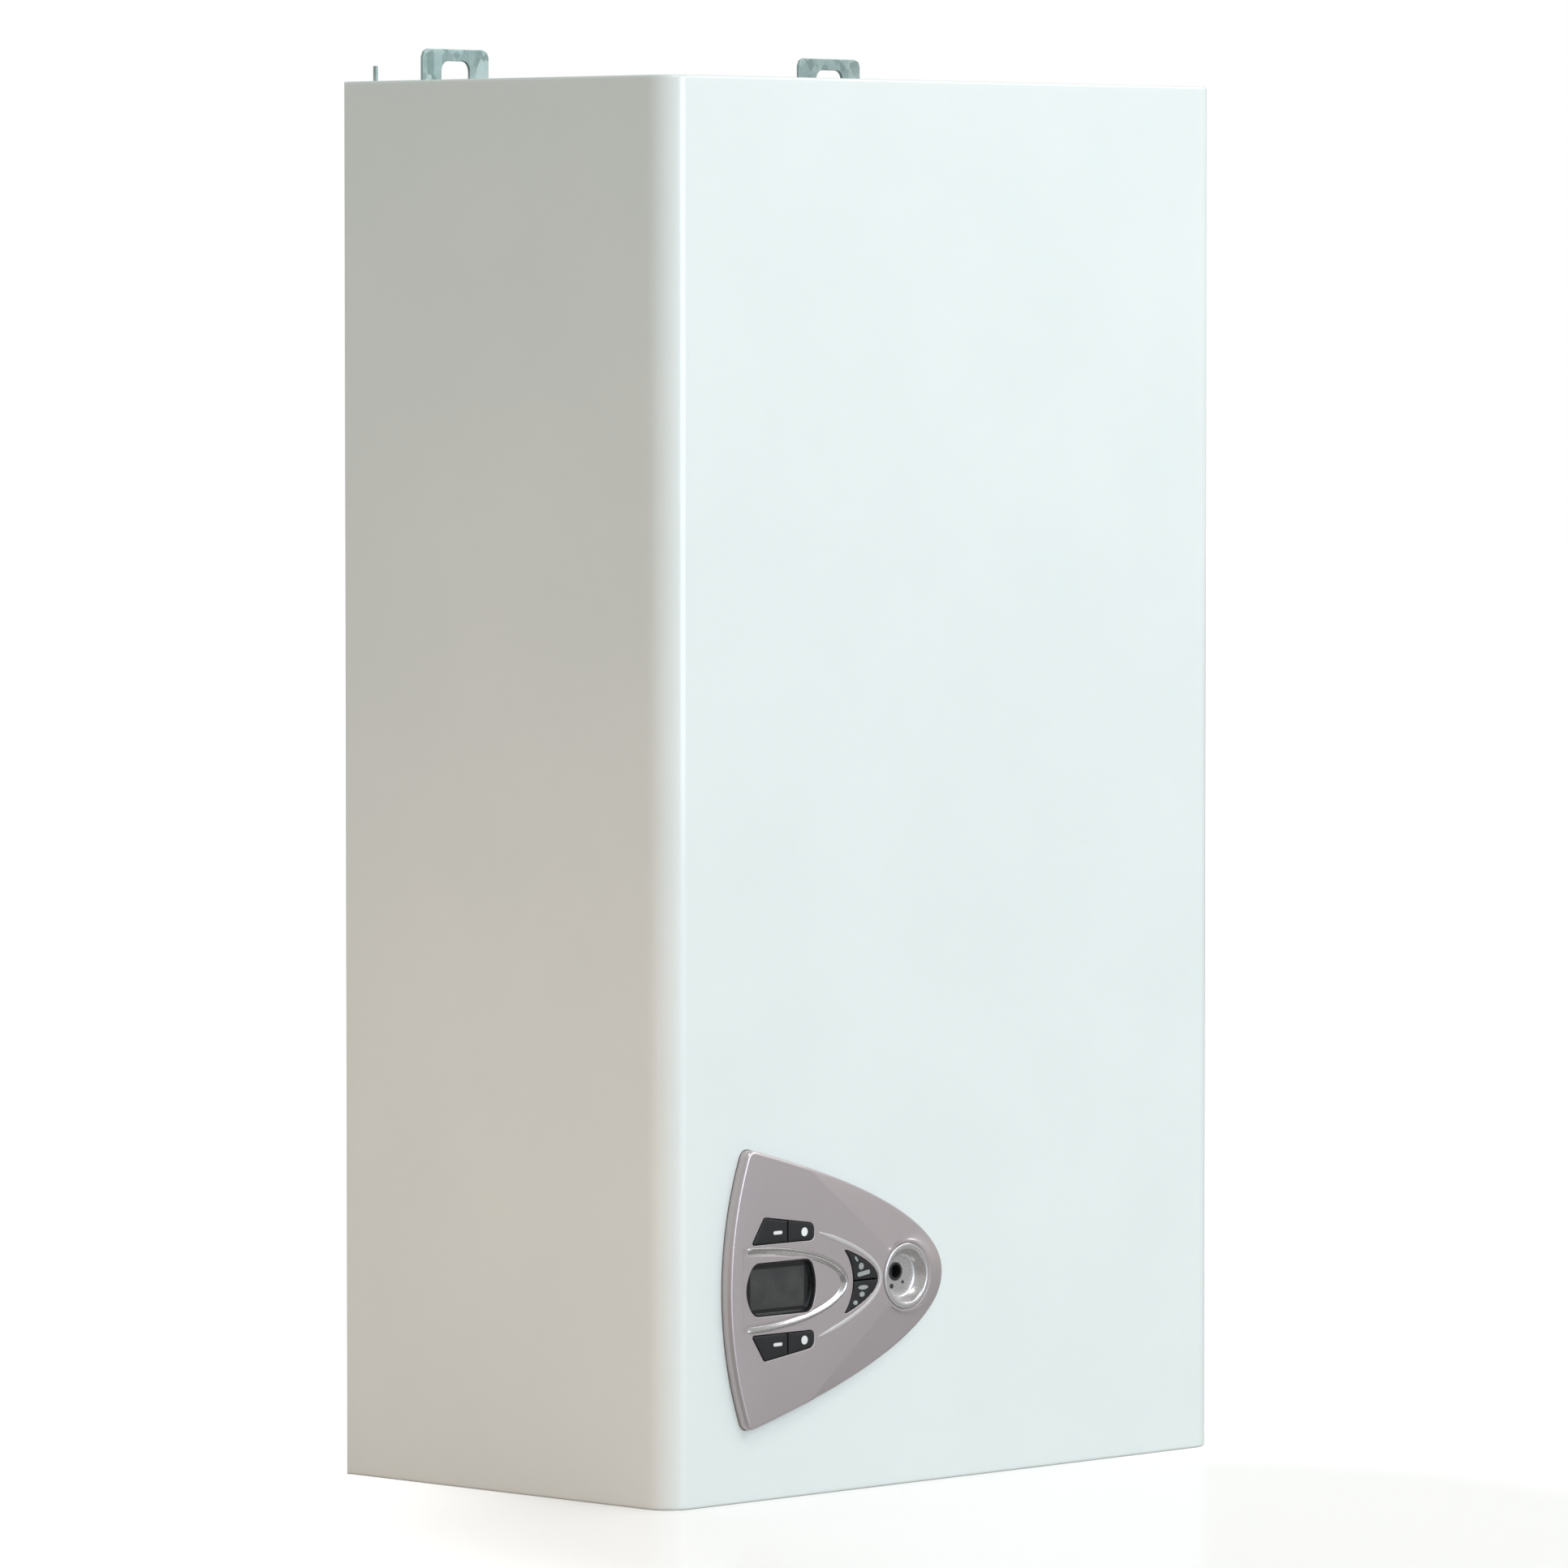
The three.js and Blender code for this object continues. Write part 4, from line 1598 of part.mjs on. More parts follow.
function pump(boiler) {
  const group = groupAt(boiler, PUMP_X, PUMP_Y, PUMP_LEVEL);
  const half = PUMP_WIDTH / 2;
  const volute = rod(PUMP_RADIUS, PUMP_WIDTH, [0, -half, 0], Y_AXIS, 28);
  const outlet = rod(LARGE_PIPE + 3, PUMP_RADIUS, [PUMP_OFFSET, 0, 0], Z_AXIS, 14);
  const inletX = 2 * PIPE_PITCH - PUMP_X;
  const inletLow = BLOCK_TOP + GAP - PUMP_LEVEL;
  const inletHigh = -PUMP_MOTOR_RADIUS - PUMP_INLET_ROOM;
  const inletFront = PIPE_Y - PUMP_Y - PUMP_INLET / 2;
  const left = inletX - PUMP_INLET / 2;
  const right = inletX + PUMP_INLET / 2;
  const inlet = join(
    block(left, right, inletFront, half, inletLow, inletHigh),
    block(left, right, -half, half, inletHigh - 1, -PUMP_RADIUS / 2),
  );
  const vent = turned(
    [
      [0, 0],
      [VENT_RADIUS - 3, 0],
      [VENT_RADIUS - 3, VENT_HEIGHT * 0.4],
      [VENT_RADIUS, VENT_HEIGHT * 0.5],
      [VENT_RADIUS, VENT_HEIGHT],
      [3, VENT_HEIGHT + 2],
      [0, VENT_HEIGHT + 2],
    ],
    [-12, 0, PUMP_RADIUS - 4],
    Z_AXIS,
    14,
  );
  const nipple = rod(HOSE_RADIUS + 1, 14, [-PUMP_RADIUS - 8, 0, 0], X_AXIS, 10);
  const chamber = rod(PUMP_ROTOR + 3, PUMP_WIDTH - PUMP_WALL + 1, [0, -half - 1, 0], Y_AXIS, 24);
  add(group, "pump_body", cut(join(volute, outlet, inlet, vent, nipple), chamber), CAST_ALLOY);
  const motorBack = -half - GAP;
  const r = PUMP_MOTOR_RADIUS;
  const length = PUMP_MOTOR_LENGTH;
  const can = turned(
    [
      [0, -PUMP_WALL],
      [PUMP_ROTOR + 2, -PUMP_WALL],
      [PUMP_ROTOR + 2, 0],
      [r + 2, 0],
      [r + 2, 6],
      [r, 8],
      [r, length - 6],
      [r - 6, length],
      [10, length],
      [10, length + 2],
      [0, length + 2],
    ],
    [0, motorBack, 0],
    FORWARD,
    24,
  );
  const terminals = block(-26, 26, motorBack - length + 8, motorBack - 14, r - 6, r + 12);
  const bore = rod(PUMP_SHAFT + GAP, PUMP_SHAFT_LENGTH + PUMP_WALL + 1, [0, motorBack + PUMP_WALL + 1, 0], FORWARD, 16);
  add(group, "pump_motor", cut(join(can, terminals), bore), BLACK);
  const rotorFront = motorBack + PUMP_WALL + RUN_GAP;
  const disc1 = rod(PUMP_ROTOR, 2, [0, rotorFront, 0], Y_AXIS, 24);
  const disc2 = rod(PUMP_ROTOR, 2, [0, rotorFront + PUMP_ROTOR_WIDTH, 0], Y_AXIS, 24);
  const vanes = Array.from({ length: 6 }, (_, i) =>
    block(-1, 1, rotorFront + 1, rotorFront + PUMP_ROTOR_WIDTH + 1, 9, PUMP_ROTOR - 1)
      .rotate([0, 35, 0])
      .translate([-8, 0, 0])
      .rotate([0, 60 * i, 0]),
  );
  const shaft = rod(PUMP_SHAFT, PUMP_SHAFT_LENGTH + PUMP_ROTOR_WIDTH, [0, rotorFront + PUMP_ROTOR_WIDTH + 1, 0], FORWARD, 12);
  const eye = rod(9, PUMP_ROTOR_WIDTH, [0, rotorFront + 1, 0], Y_AXIS, 12);
  add(group, "pump_rotor", join(disc1, disc2, eye, shaft, ...vanes), STEEL);
}

function gasSide(boiler) {
  const half = GAS_BODY / 2;
  const low = GAS_BODY_LEVEL;
  const high = low + GAS_BODY_HEIGHT;
  const body = upright(roundedRectangle(-half, half, PIPE_Y - half, PIPE_Y + half, 6), low, high, 3);
  const flange = block(-18, 18, PIPE_Y - 18, PIPE_Y + 18, high - 1, high + 5);
  const coils = [-1, 1].map((side) =>
    rod(COIL_RADIUS, COIL_HEIGHT, [side * (COIL_RADIUS + 1), PIPE_Y - half + 1, low + 40], FORWARD, 14),
  );
  const regulator = rod(9, 14, [0, PIPE_Y - half + 1, low + 12], FORWARD, 12);
  add(boiler, "gas_valve", join(body, flange, ...coils, regulator), CAST_ALLOY);
  const level = CHAMBER_FLOOR - 32;
  const feed = pipe(
    GAS_PIPE,
    [
      [0, PIPE_Y, high + 5 + GAP],
      [0, PIPE_Y, level],
      [UNIT_X, GAS_RISE_Y, level],
      [UNIT_X, GAS_RISE_Y, FLOOR_Z - GAP],
    ],
    PIPE_BEND * 0.6,
  );
  add(boiler, "gas_feed_pipe", feed, STEEL);
}

// A round pressure gauge set in the bracket with its face down.
function pressureGauge(boiler) {
  const face = BRACKET_LEVEL - GAUGE_DEPTH + 6;
  const gauge = groupAt(boiler, -GAUGE_X, GAUGE_Y, face);
  const dial = GAUGE_GLASS + GAP + GAUGE_ROOM;
  const r = GAUGE_RADIUS;
  const rim = BRACKET_LEVEL - GAP - face;
  const pinTop = dial - NEEDLE_THICK - 2 * GAP;
  const cup = turned(
    [
      [r - GAUGE_WALL, 0],
      [r, 0],
      [r, rim],
      [r - 3, rim],
      [r - 3, GAUGE_DEPTH],
      [0, GAUGE_DEPTH],
      [0, dial],
      [r - GAUGE_WALL, dial],
      [r - GAUGE_WALL, 0],
    ],
    [0, 0, 0],
    Z_AXIS,
    28,
  );
  add(gauge, "pressure_gauge", cup, BLACK);
  const glass = rod(r - GAUGE_WALL - GAP, GAUGE_GLASS, [0, 0, 0.2], Z_AXIS, 28);
  add(gauge, "gauge_glass", glass, GLASS);
  const hub = rod(NEEDLE_HUB, NEEDLE_THICK + 1, [0, 0, pinTop - 1], Z_AXIS, 12);
  const pointer = upright(
    outline([
      [-NEEDLE_LENGTH * 0.35, -1.2],
      [0, -1],
      [NEEDLE_LENGTH, -0.3],
      [NEEDLE_LENGTH, 0.3],
      [0, 1],
      [-NEEDLE_LENGTH * 0.35, 1.2],
    ]),
    pinTop,
    pinTop + NEEDLE_THICK,
  );
  add(gauge, "gauge_needle", join(hub, pointer).rotate([0, 0, NEEDLE_REST]), RED);
}

function mainsGland(boiler) {
  const r = GLAND_RADIUS;
  const seat = BRACKET_LEVEL - GAP;
  const gland = turned(
    [
      [4, seat - 14],
      [r - 2, seat - 14],
      [r, seat - 10],
      [r, seat],
      [r - 2, seat],
      [r - 2, seat + 12],
      [4, seat + 12],
      [4, seat - 14],
    ],
    [-GLAND_X, GLAND_Y, 0],
    Z_AXIS,
    16,
  );
  add(boiler, "mains_gland", gland, BLACK);
}

// ---------------------------------------------------------------- the whole boiler
const boiler = new THREE.Group();
casing(boiler);
backFrame(boiler);
hangingLug(boiler, "hanging_lug_left", LUG_CENTRE - LUG_SPACING / 2);
hangingLug(boiler, "hanging_lug_right", LUG_CENTRE + LUG_SPACING / 2);
sealedChamber(boiler);
chamberCover(boiler);
fireBox(boiler);
burner(boiler);
electrodes(boiler);
heatExchanger(boiler);
flueHood(boiler);
fan(boiler);
topFittings(boiler);
airPressureSwitch(boiler);
expansionVessel(boiler);
pipeBracket(boiler);
unions(boiler);
waterBlocks(boiler);
waterPipes(boiler);
pump(boiler);
gasSide(boiler);
pressureGauge(boiler);
mainsGland(boiler);
controlBox(boiler);
controlBoard(boiler);
controlPanel(boiler);

export default boiler;
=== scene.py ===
# %% [markdown]
# # Dressing a combi boiler
#
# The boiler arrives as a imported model: sixty solids at their real size, in metres, that stand on
# z = 0 with the wall behind them at positive y. This lesson gives it its skin. The casing, the
# silver control panel and all that is seen in it are worked out as surfaces with numpy, and the
# other parts get eased edges and a finish made of shader nodes.

import json
import math

import bmesh
import bpy
import numpy as np
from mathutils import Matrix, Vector
from mathutils.bvhtree import BVHTree
from mathutils.geometry import delaunay_2d_cdt

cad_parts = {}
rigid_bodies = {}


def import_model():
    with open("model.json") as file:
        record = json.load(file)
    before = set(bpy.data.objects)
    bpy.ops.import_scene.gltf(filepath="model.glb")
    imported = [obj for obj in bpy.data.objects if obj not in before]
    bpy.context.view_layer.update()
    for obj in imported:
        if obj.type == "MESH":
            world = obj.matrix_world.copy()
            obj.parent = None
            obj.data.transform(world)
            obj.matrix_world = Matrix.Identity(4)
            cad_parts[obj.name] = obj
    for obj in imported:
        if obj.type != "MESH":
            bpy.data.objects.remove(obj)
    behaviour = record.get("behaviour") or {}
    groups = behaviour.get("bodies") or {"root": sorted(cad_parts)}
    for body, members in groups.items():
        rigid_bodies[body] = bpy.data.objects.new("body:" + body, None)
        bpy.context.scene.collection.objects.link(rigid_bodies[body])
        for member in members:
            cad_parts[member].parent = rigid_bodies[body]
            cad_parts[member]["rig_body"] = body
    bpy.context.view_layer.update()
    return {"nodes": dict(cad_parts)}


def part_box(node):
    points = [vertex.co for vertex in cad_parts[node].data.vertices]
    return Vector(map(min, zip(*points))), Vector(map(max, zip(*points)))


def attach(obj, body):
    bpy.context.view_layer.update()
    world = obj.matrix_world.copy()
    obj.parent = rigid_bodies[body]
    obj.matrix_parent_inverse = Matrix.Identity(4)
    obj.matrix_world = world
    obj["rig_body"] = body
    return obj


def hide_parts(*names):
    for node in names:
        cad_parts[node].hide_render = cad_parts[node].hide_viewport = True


bpy.context.scene.view_settings.view_transform = "Standard"
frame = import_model()

# %% [markdown]
# ## Camera
#
# The place and the focal length of the camera come from the photograph: the verticals hardly
# close in, so it is a long lens about five metres away, a little under the top edge. A camera is
# placed by a point to stand on and a point to look at, which keeps its sides level. The lamps
# are placed in the same way.


# %% Camera
def put(name, data):
    """An object made of this data, in the scene."""
    made = bpy.data.objects.new(name, data)
    bpy.context.collection.objects.link(made)
    return made


def stand(made, place, aim):
    """Stands a camera or a lamp at one place and turns it to look at another."""
    made.location = place
    made.rotation_euler = (Vector(aim) - Vector(place)).to_track_quat("-Z", "Y").to_euler()


lens = bpy.data.cameras.new("view")
lens.lens = 228.75
lens.sensor_width = 36
lens.clip_end = 60
camera = put("view", lens)
stand(camera, (-3.6246, -3.5289, 0.5875), (-0.00564, -0.00076, 0.34533))
bpy.context.scene.camera = camera
print("camera stands", round(camera.location.length, 2), "m from the boiler's foot")

# %% [markdown]
# ## Shader nodes as sums
#
# A finish is a tree of nodes, but most of it is plain arithmetic on masks and noises. `Wire`
# wraps a socket, so that `noise * 0.2 + 0.3` adds the Math nodes itself. `Nodes` makes any other
# node from its settings and its inputs, in a material's tree or in the world's.


# %% A socket that works like a number
class Wire:
    """One output socket; arithmetic on it adds a Math node and gives the wire that leaves it."""

    def __init__(self, nodes, socket):
        self.nodes = nodes
        self.socket = socket

    def maths(self, operation, other=0.0):
        return self.nodes.node("ShaderNodeMath", {"operation": operation}, {0: self, 1: other})

    def __add__(self, other):
        return self.maths("ADD", other)

    def __sub__(self, other):
        return self.maths("SUBTRACT", other)

    def __mul__(self, other):
        return self.maths("MULTIPLY", other)

    def __pow__(self, other):
        return self.maths("POWER", other)

    def larger(self, other):
        return self.maths("MAXIMUM", other)

    def size(self):
        return self.maths("ABSOLUTE")

    def between(self, low, high):
        """0 under low, 1 over high, and a smooth rise between them."""
        settings = {"interpolation_type": "SMOOTHSTEP"}
        inputs = {"Value": self, "From Min": low, "From Max": high}
        return self.nodes.node("ShaderNodeMapRange", settings, inputs)


# %% A node tree under construction
class Nodes:
    """A tree that nodes are added to; each comes back as the wire that leaves it."""

    def __init__(self, tree):
        self.tree = tree

    def node(self, kind, settings=None, inputs=None, out=0):
        """Any node: its settings first, then its inputs, each a value or a wire."""
        made = self.tree.nodes.new(kind)
        for key, value in (settings or {}).items():
            setattr(made, key, value)
        for key, value in (inputs or {}).items():
            if isinstance(value, Wire):
                self.tree.links.new(value.socket, made.inputs[key])
            else:
                made.inputs[key].default_value = value
        return Wire(self, made.outputs[out])

    def blend(self, share, first, second):
        """A colour between two colours; the Mix node keeps it a colour."""
        settings = {"data_type": "RGBA"}
        inputs = {0: share, 6: first, 7: second}
        return self.node("ShaderNodeMix", settings, inputs, out=2)

    def ray(self, kind):
        """1 for rays of one kind, such as Camera or Glossy, and 0 for the others."""
        return self.node("ShaderNodeLightPath", out=f"Is {kind} Ray")


# %% A material under construction
class Finish(Nodes):
    """A material whose shader is a Principled one; its name says what surface it is."""

    def __init__(self, name, **constants):
        self.material = bpy.data.materials.new(name)
        self.material.use_nodes = True
        super().__init__(self.material.node_tree)
        self.shader = self.tree.nodes["Principled BSDF"]
        for key, value in constants.items():
            self.shader.inputs[key.replace("_", " ")].default_value = value

    def place(self, stretch=(1, 1, 1)):
        """Where a point lies on the piece, in metres, each way multiplied by stretch."""
        where = self.node("ShaderNodeTexCoord", out="Object")
        return self.node("ShaderNodeMapping", {}, {"Vector": where, "Scale": stretch})

    def axis(self, way):
        where = self.node("ShaderNodeTexCoord", out="Object")
        return self.node("ShaderNodeSeparateXYZ", {}, {0: where}, out=way)

    def noise(self, scale, detail=2.0, stretch=(1, 1, 1), roughness=0.5):
        inputs = {"Scale": scale, "Detail": detail, "Roughness": roughness}
        return self.node("ShaderNodeTexNoise", {}, {"Vector": self.place(stretch), **inputs})

    def cells(self, scale):
        """One random value for each cell of a Voronoi net."""
        inputs = {"Vector": self.place(), "Scale": scale}
        colour = self.node("ShaderNodeTexVoronoi", {}, inputs, out="Color")
        return self.node("ShaderNodeSeparateColor", {}, {0: colour}, out="Red")

    def relief(self, height, depth):
        """Bump of so many metres where the height runs from 0 to 1."""
        inputs = {"Height": height, "Distance": depth, "Strength": 1.0}
        return self.node("ShaderNodeBump", {}, inputs, out="Normal")

    def wear(self, **wires):
        """Joins wires to the shader's sockets, and gives the material."""
        for key, wire in wires.items():
            self.tree.links.new(wire.socket, self.shader.inputs[key.replace("_", " ")])
        return self.material


# %% Colours
def rgb(red, green, blue):
    """A colour as a screen shows it, 0 to 255, turned into the linear values that light adds in."""
    share = np.array([red, green, blue]) / 255
    linear = np.where(share <= 0.04045, share / 12.92, ((share + 0.055) / 1.055) ** 2.4)
    return (*linear.tolist(), 1.0)


def darkened(colour, share):
    return tuple(channel * share for channel in colour[:3]) + (1.0,)


# %% [markdown]
# ## Finishes
#
# Real surfaces differ from a flat colour by what made them. Powder coat flows out into a fine
# orange peel. Dipped zinc grows crystals. Castings keep the grain of the sand, drawn and rolled
# metal its streaks, moulded plastic the spark-eroded grain of its tool. Each finish below is one
# such cause at its real scale, as a change in colour, in gloss and in height.


# %% Powder coat
def powder_coat(name, colour, shade):
    """Sprayed and baked powder: clouds of 80 mm in its tone, orange peel of about 2 mm."""
    made = Finish(name, Coat_Weight=0.6, Coat_Roughness=0.1)
    clouds = made.noise(12, 3)
    peel = made.noise(420, 2)
    colour_wire = made.blend(clouds.between(0.3, 0.7), colour, shade)
    gloss = made.noise(60, 2) * 0.06 + 0.3
    return made.wear(Base_Color=colour_wire, Roughness=gloss, Normal=made.relief(peel, 0.00003))


# %% Moulded plastic
def moulded(name, colour, rough=0.45, grain=0.00002, scale=900):
    """Plastic from a tool with a fine eroded grain, a little duller where it was handled."""
    made = Finish(name)
    handled = made.noise(35, 3)
    skin = made.noise(scale, 2)
    colour_wire = made.blend(handled.between(0.35, 0.75), colour, darkened(colour, 0.86))
    return made.wear(
        Base_Color=colour_wire,
        Roughness=handled * 0.16 + (rough - 0.08),
        Normal=made.relief(skin, grain),
    )


# %% Metals
def worked_metal(name, colour, shade, rough, stretch=(1, 1, 1), scale=140, depth=0.00002):
    """Bare metal: streaks or grain along one way, in its tone, its gloss and its height."""
    made = Finish(name, Metallic=1.0)
    grain = made.noise(scale, 4, stretch, 0.6)
    stain = made.noise(18, 4)
    tone = made.blend((grain * 0.6 + stain * 0.4).between(0.35, 0.65), colour, shade)
    gloss = grain * 0.25 + stain * 0.2 + (rough - 0.22)
    return made.wear(Base_Color=tone, Roughness=gloss, Normal=made.relief(grain, depth))


def dipped_zinc(name):
    """Hot-dipped zinc: crystals of about 5 mm, each with its own grey and its own gloss."""
    made = Finish(name, Metallic=0.9)
    crystal = made.cells(210)
    bloom = made.noise(25, 3)
    tone = made.blend(crystal, rgb(156, 178, 176), rgb(186, 205, 202))
    tone = made.blend(bloom.between(0.45, 0.8) * 0.5, tone, rgb(205, 212, 208))
    gloss = crystal * 0.16 + bloom * 0.2 + 0.22
    return made.wear(Base_Color=tone, Roughness=gloss, Normal=made.relief(crystal, 0.000012))


# %% Clear and printed materials
def clear_glass(name):
    """Flat glass with a thin bloom of dust that dulls it in places."""
    made = Finish(name, Transmission_Weight=1.0, IOR=1.5, Base_Color=(0.96, 0.98, 0.97, 1))
    dust = made.noise(60, 3)
    return made.wear(Roughness=dust.between(0.5, 0.9) * 0.08 + 0.02)


def circuit_board(name):
    """Green lacquer over copper tracks: a raised maze of 2 by 4 mm."""
    made = Finish(name, Coat_Weight=0.4)
    inputs = {"Vector": made.place(), "Scale": 120.0}
    maze = made.node("ShaderNodeTexBrick", {"offset": 0.35}, inputs, out=1)
    tone = made.blend(maze, rgb(26, 92, 52), rgb(52, 132, 74))
    gloss = made.noise(200) * 0.2 + 0.3
    return made.wear(Base_Color=tone, Roughness=gloss, Normal=made.relief(maze, 0.00004))


# %% The finish of every slot in the record
PLAIN = (1, 1, 1)
metals = {
    "bare_steel": ("rolled_steel", (176, 178, 178), (140, 142, 143), 0.4, (1, 1, 14)),
    "copper": ("drawn_copper", (214, 138, 100), (176, 104, 74), 0.34, (1, 1, 0.12), 160),
    "brass": ("turned_brass", (206, 172, 98), (170, 136, 72), 0.34, (1, 1, 20)),
    "cast_alloy": ("sand_cast_alloy", (168, 170, 172), (132, 134, 137), 0.62, PLAIN, 520, 0.00012),
    "cast_iron": ("cast_iron", (84, 80, 78), (52, 49, 48), 0.7, PLAIN, 480, 0.00014),
}
plastics = {
    "black_rubber": ("moulded_rubber", (26, 26, 27), 0.78, 0.00005, 600),
    "fibre_board": ("fibre_board", (214, 208, 192), 0.92, 0.0003, 240),
    "white_ceramic": ("glazed_ceramic", (232, 230, 222), 0.2, 0.00001, 300),
    "white_plastic": ("white_plastic", (226, 227, 224), 0.42),
    "red_plastic": ("red_plastic", (186, 28, 24), 0.4),
    "blue_plastic": ("blue_plastic", (30, 84, 160), 0.4),
    "black_plastic": ("black_plastic", (34, 34, 35), 0.5),
    "grey_plastic": ("grey_plastic", (120, 122, 124), 0.5),
}
finishes = {
    "white_paint": powder_coat("powder_coat", rgb(233, 238, 234), rgb(230, 236, 232)),
    "red_paint": powder_coat("vessel_enamel", rgb(176, 26, 22), rgb(150, 20, 18)),
    "zinc_sheet": dipped_zinc("dipped_zinc"),
    "clear_glass": clear_glass("flat_glass"),
    "green_board": circuit_board("green_board"),
}
for slot, (name, colour, shade, *rest) in metals.items():
    finishes[slot] = worked_metal(name, rgb(*colour), rgb(*shade), *rest)
for slot, (name, colour, *rest) in plastics.items():
    finishes[slot] = moulded(name, rgb(*colour), *rest)
print("finishes:", len(finishes))

# %% [markdown]
# ## What is seen of the control panel
#
# The panel is silver paint with a fine metal flake on grey plastic, so it is half a metal: its
# flake glints in points of a fifth of a millimetre and its tone drifts slightly. The keys are
# matt black rubber-like plastic. The window is smoked, glossy, and printed black along its edge.
# That print is a mask: two axes give how far a point lies outside the clear rectangle.


# %% Silver paint, keys and the smoked window
def silver_paint(name, colour, rough, metal):
    """Metallic lacquer: flakes of 0.2 mm that lie at slightly different tilts."""
    made = Finish(name, Metallic=metal, Coat_Weight=0.15, Coat_Roughness=0.3)
    flakes = made.cells(5200)
    drift = made.noise(22, 3)
    tone = made.blend(flakes * 0.5 + drift * 0.5, colour, darkened(colour, 0.84))
    gloss = flakes * 0.08 + drift * 0.08 + (rough - 0.08)
    return made.wear(Base_Color=tone, Roughness=gloss, Normal=made.relief(flakes, 0.000002))


def smoked_window(name, middle, half_width, height, half_height):
    """Tinted lens, clear in a rectangle round (middle, height) and printed black outside it."""
    made = Finish(name, Coat_Weight=0.25, Coat_Roughness=0.08)
    across = (made.axis("X") - middle).size() - half_width
    along = (made.axis("Z") - height).size() - half_height
    print_mask = across.larger(along).between(-0.0004, 0.0002)
    haze = made.noise(90, 3)
    glass = made.blend(haze.between(0.3, 0.7), rgb(66, 66, 65), rgb(54, 54, 54))
    tone = made.blend(print_mask, glass, rgb(6, 6, 7))
    return made.wear(Base_Color=tone, Roughness=haze * 0.12 + 0.16)


finishes |= {
    "silver_plastic": silver_paint("silver_lacquer", rgb(204, 194, 195), 0.36, 0.72),
    "bright_chrome": silver_paint("bright_lacquer", rgb(190, 186, 184), 0.26, 0.9),
    # The bead's silver is the land's own, made lighter and less metallic: a painted highlight.
    "bead_painted_highlight": silver_paint("bead_painted_highlight", rgb(206, 201, 198), 0.42, 0.2),
    "bowl_lacquer": silver_paint("bowl_lacquer", rgb(206, 202, 201), 0.3, 0.7),
    "dark_key": moulded("dark_key", rgb(15, 16, 16), 0.58, 0.00003, 1200),
    "smoked_window": smoked_window("smoked_window", -0.1272, 0.019, 0.105, 0.01),
    "white_key_mark": moulded("white_key_mark", rgb(236, 236, 232), 0.5, 0.000005, 1500),
    "soft_print": moulded("soft_print", rgb(160, 162, 160), 0.5, 0.000005, 1500),
}
print("panel finishes done, all in all", len(finishes))

# %% Every CAD node gets the finish of its slot
slot_of = {}
for name, node in frame["nodes"].items():
    for spot in node.material_slots:
        slot_of[name] = spot.material.name.split(".")[0]
        spot.material = finishes[slot_of[name]]
print("nodes dressed:", len(frame["nodes"]))

# %% [markdown]
# ## Surfaces from numpy
#
# A shape here is either a grid, whose points are a function of two parameters, or a flat fill
# between closed loops. `Skin` gathers them and welds the points that meet, so a skin built in
# several patches becomes one closed mesh. Lengths are in millimetres until the mesh is made.

# %% Gathering patches into one mesh
MM = 0.001
WELD = 0.002 * MM


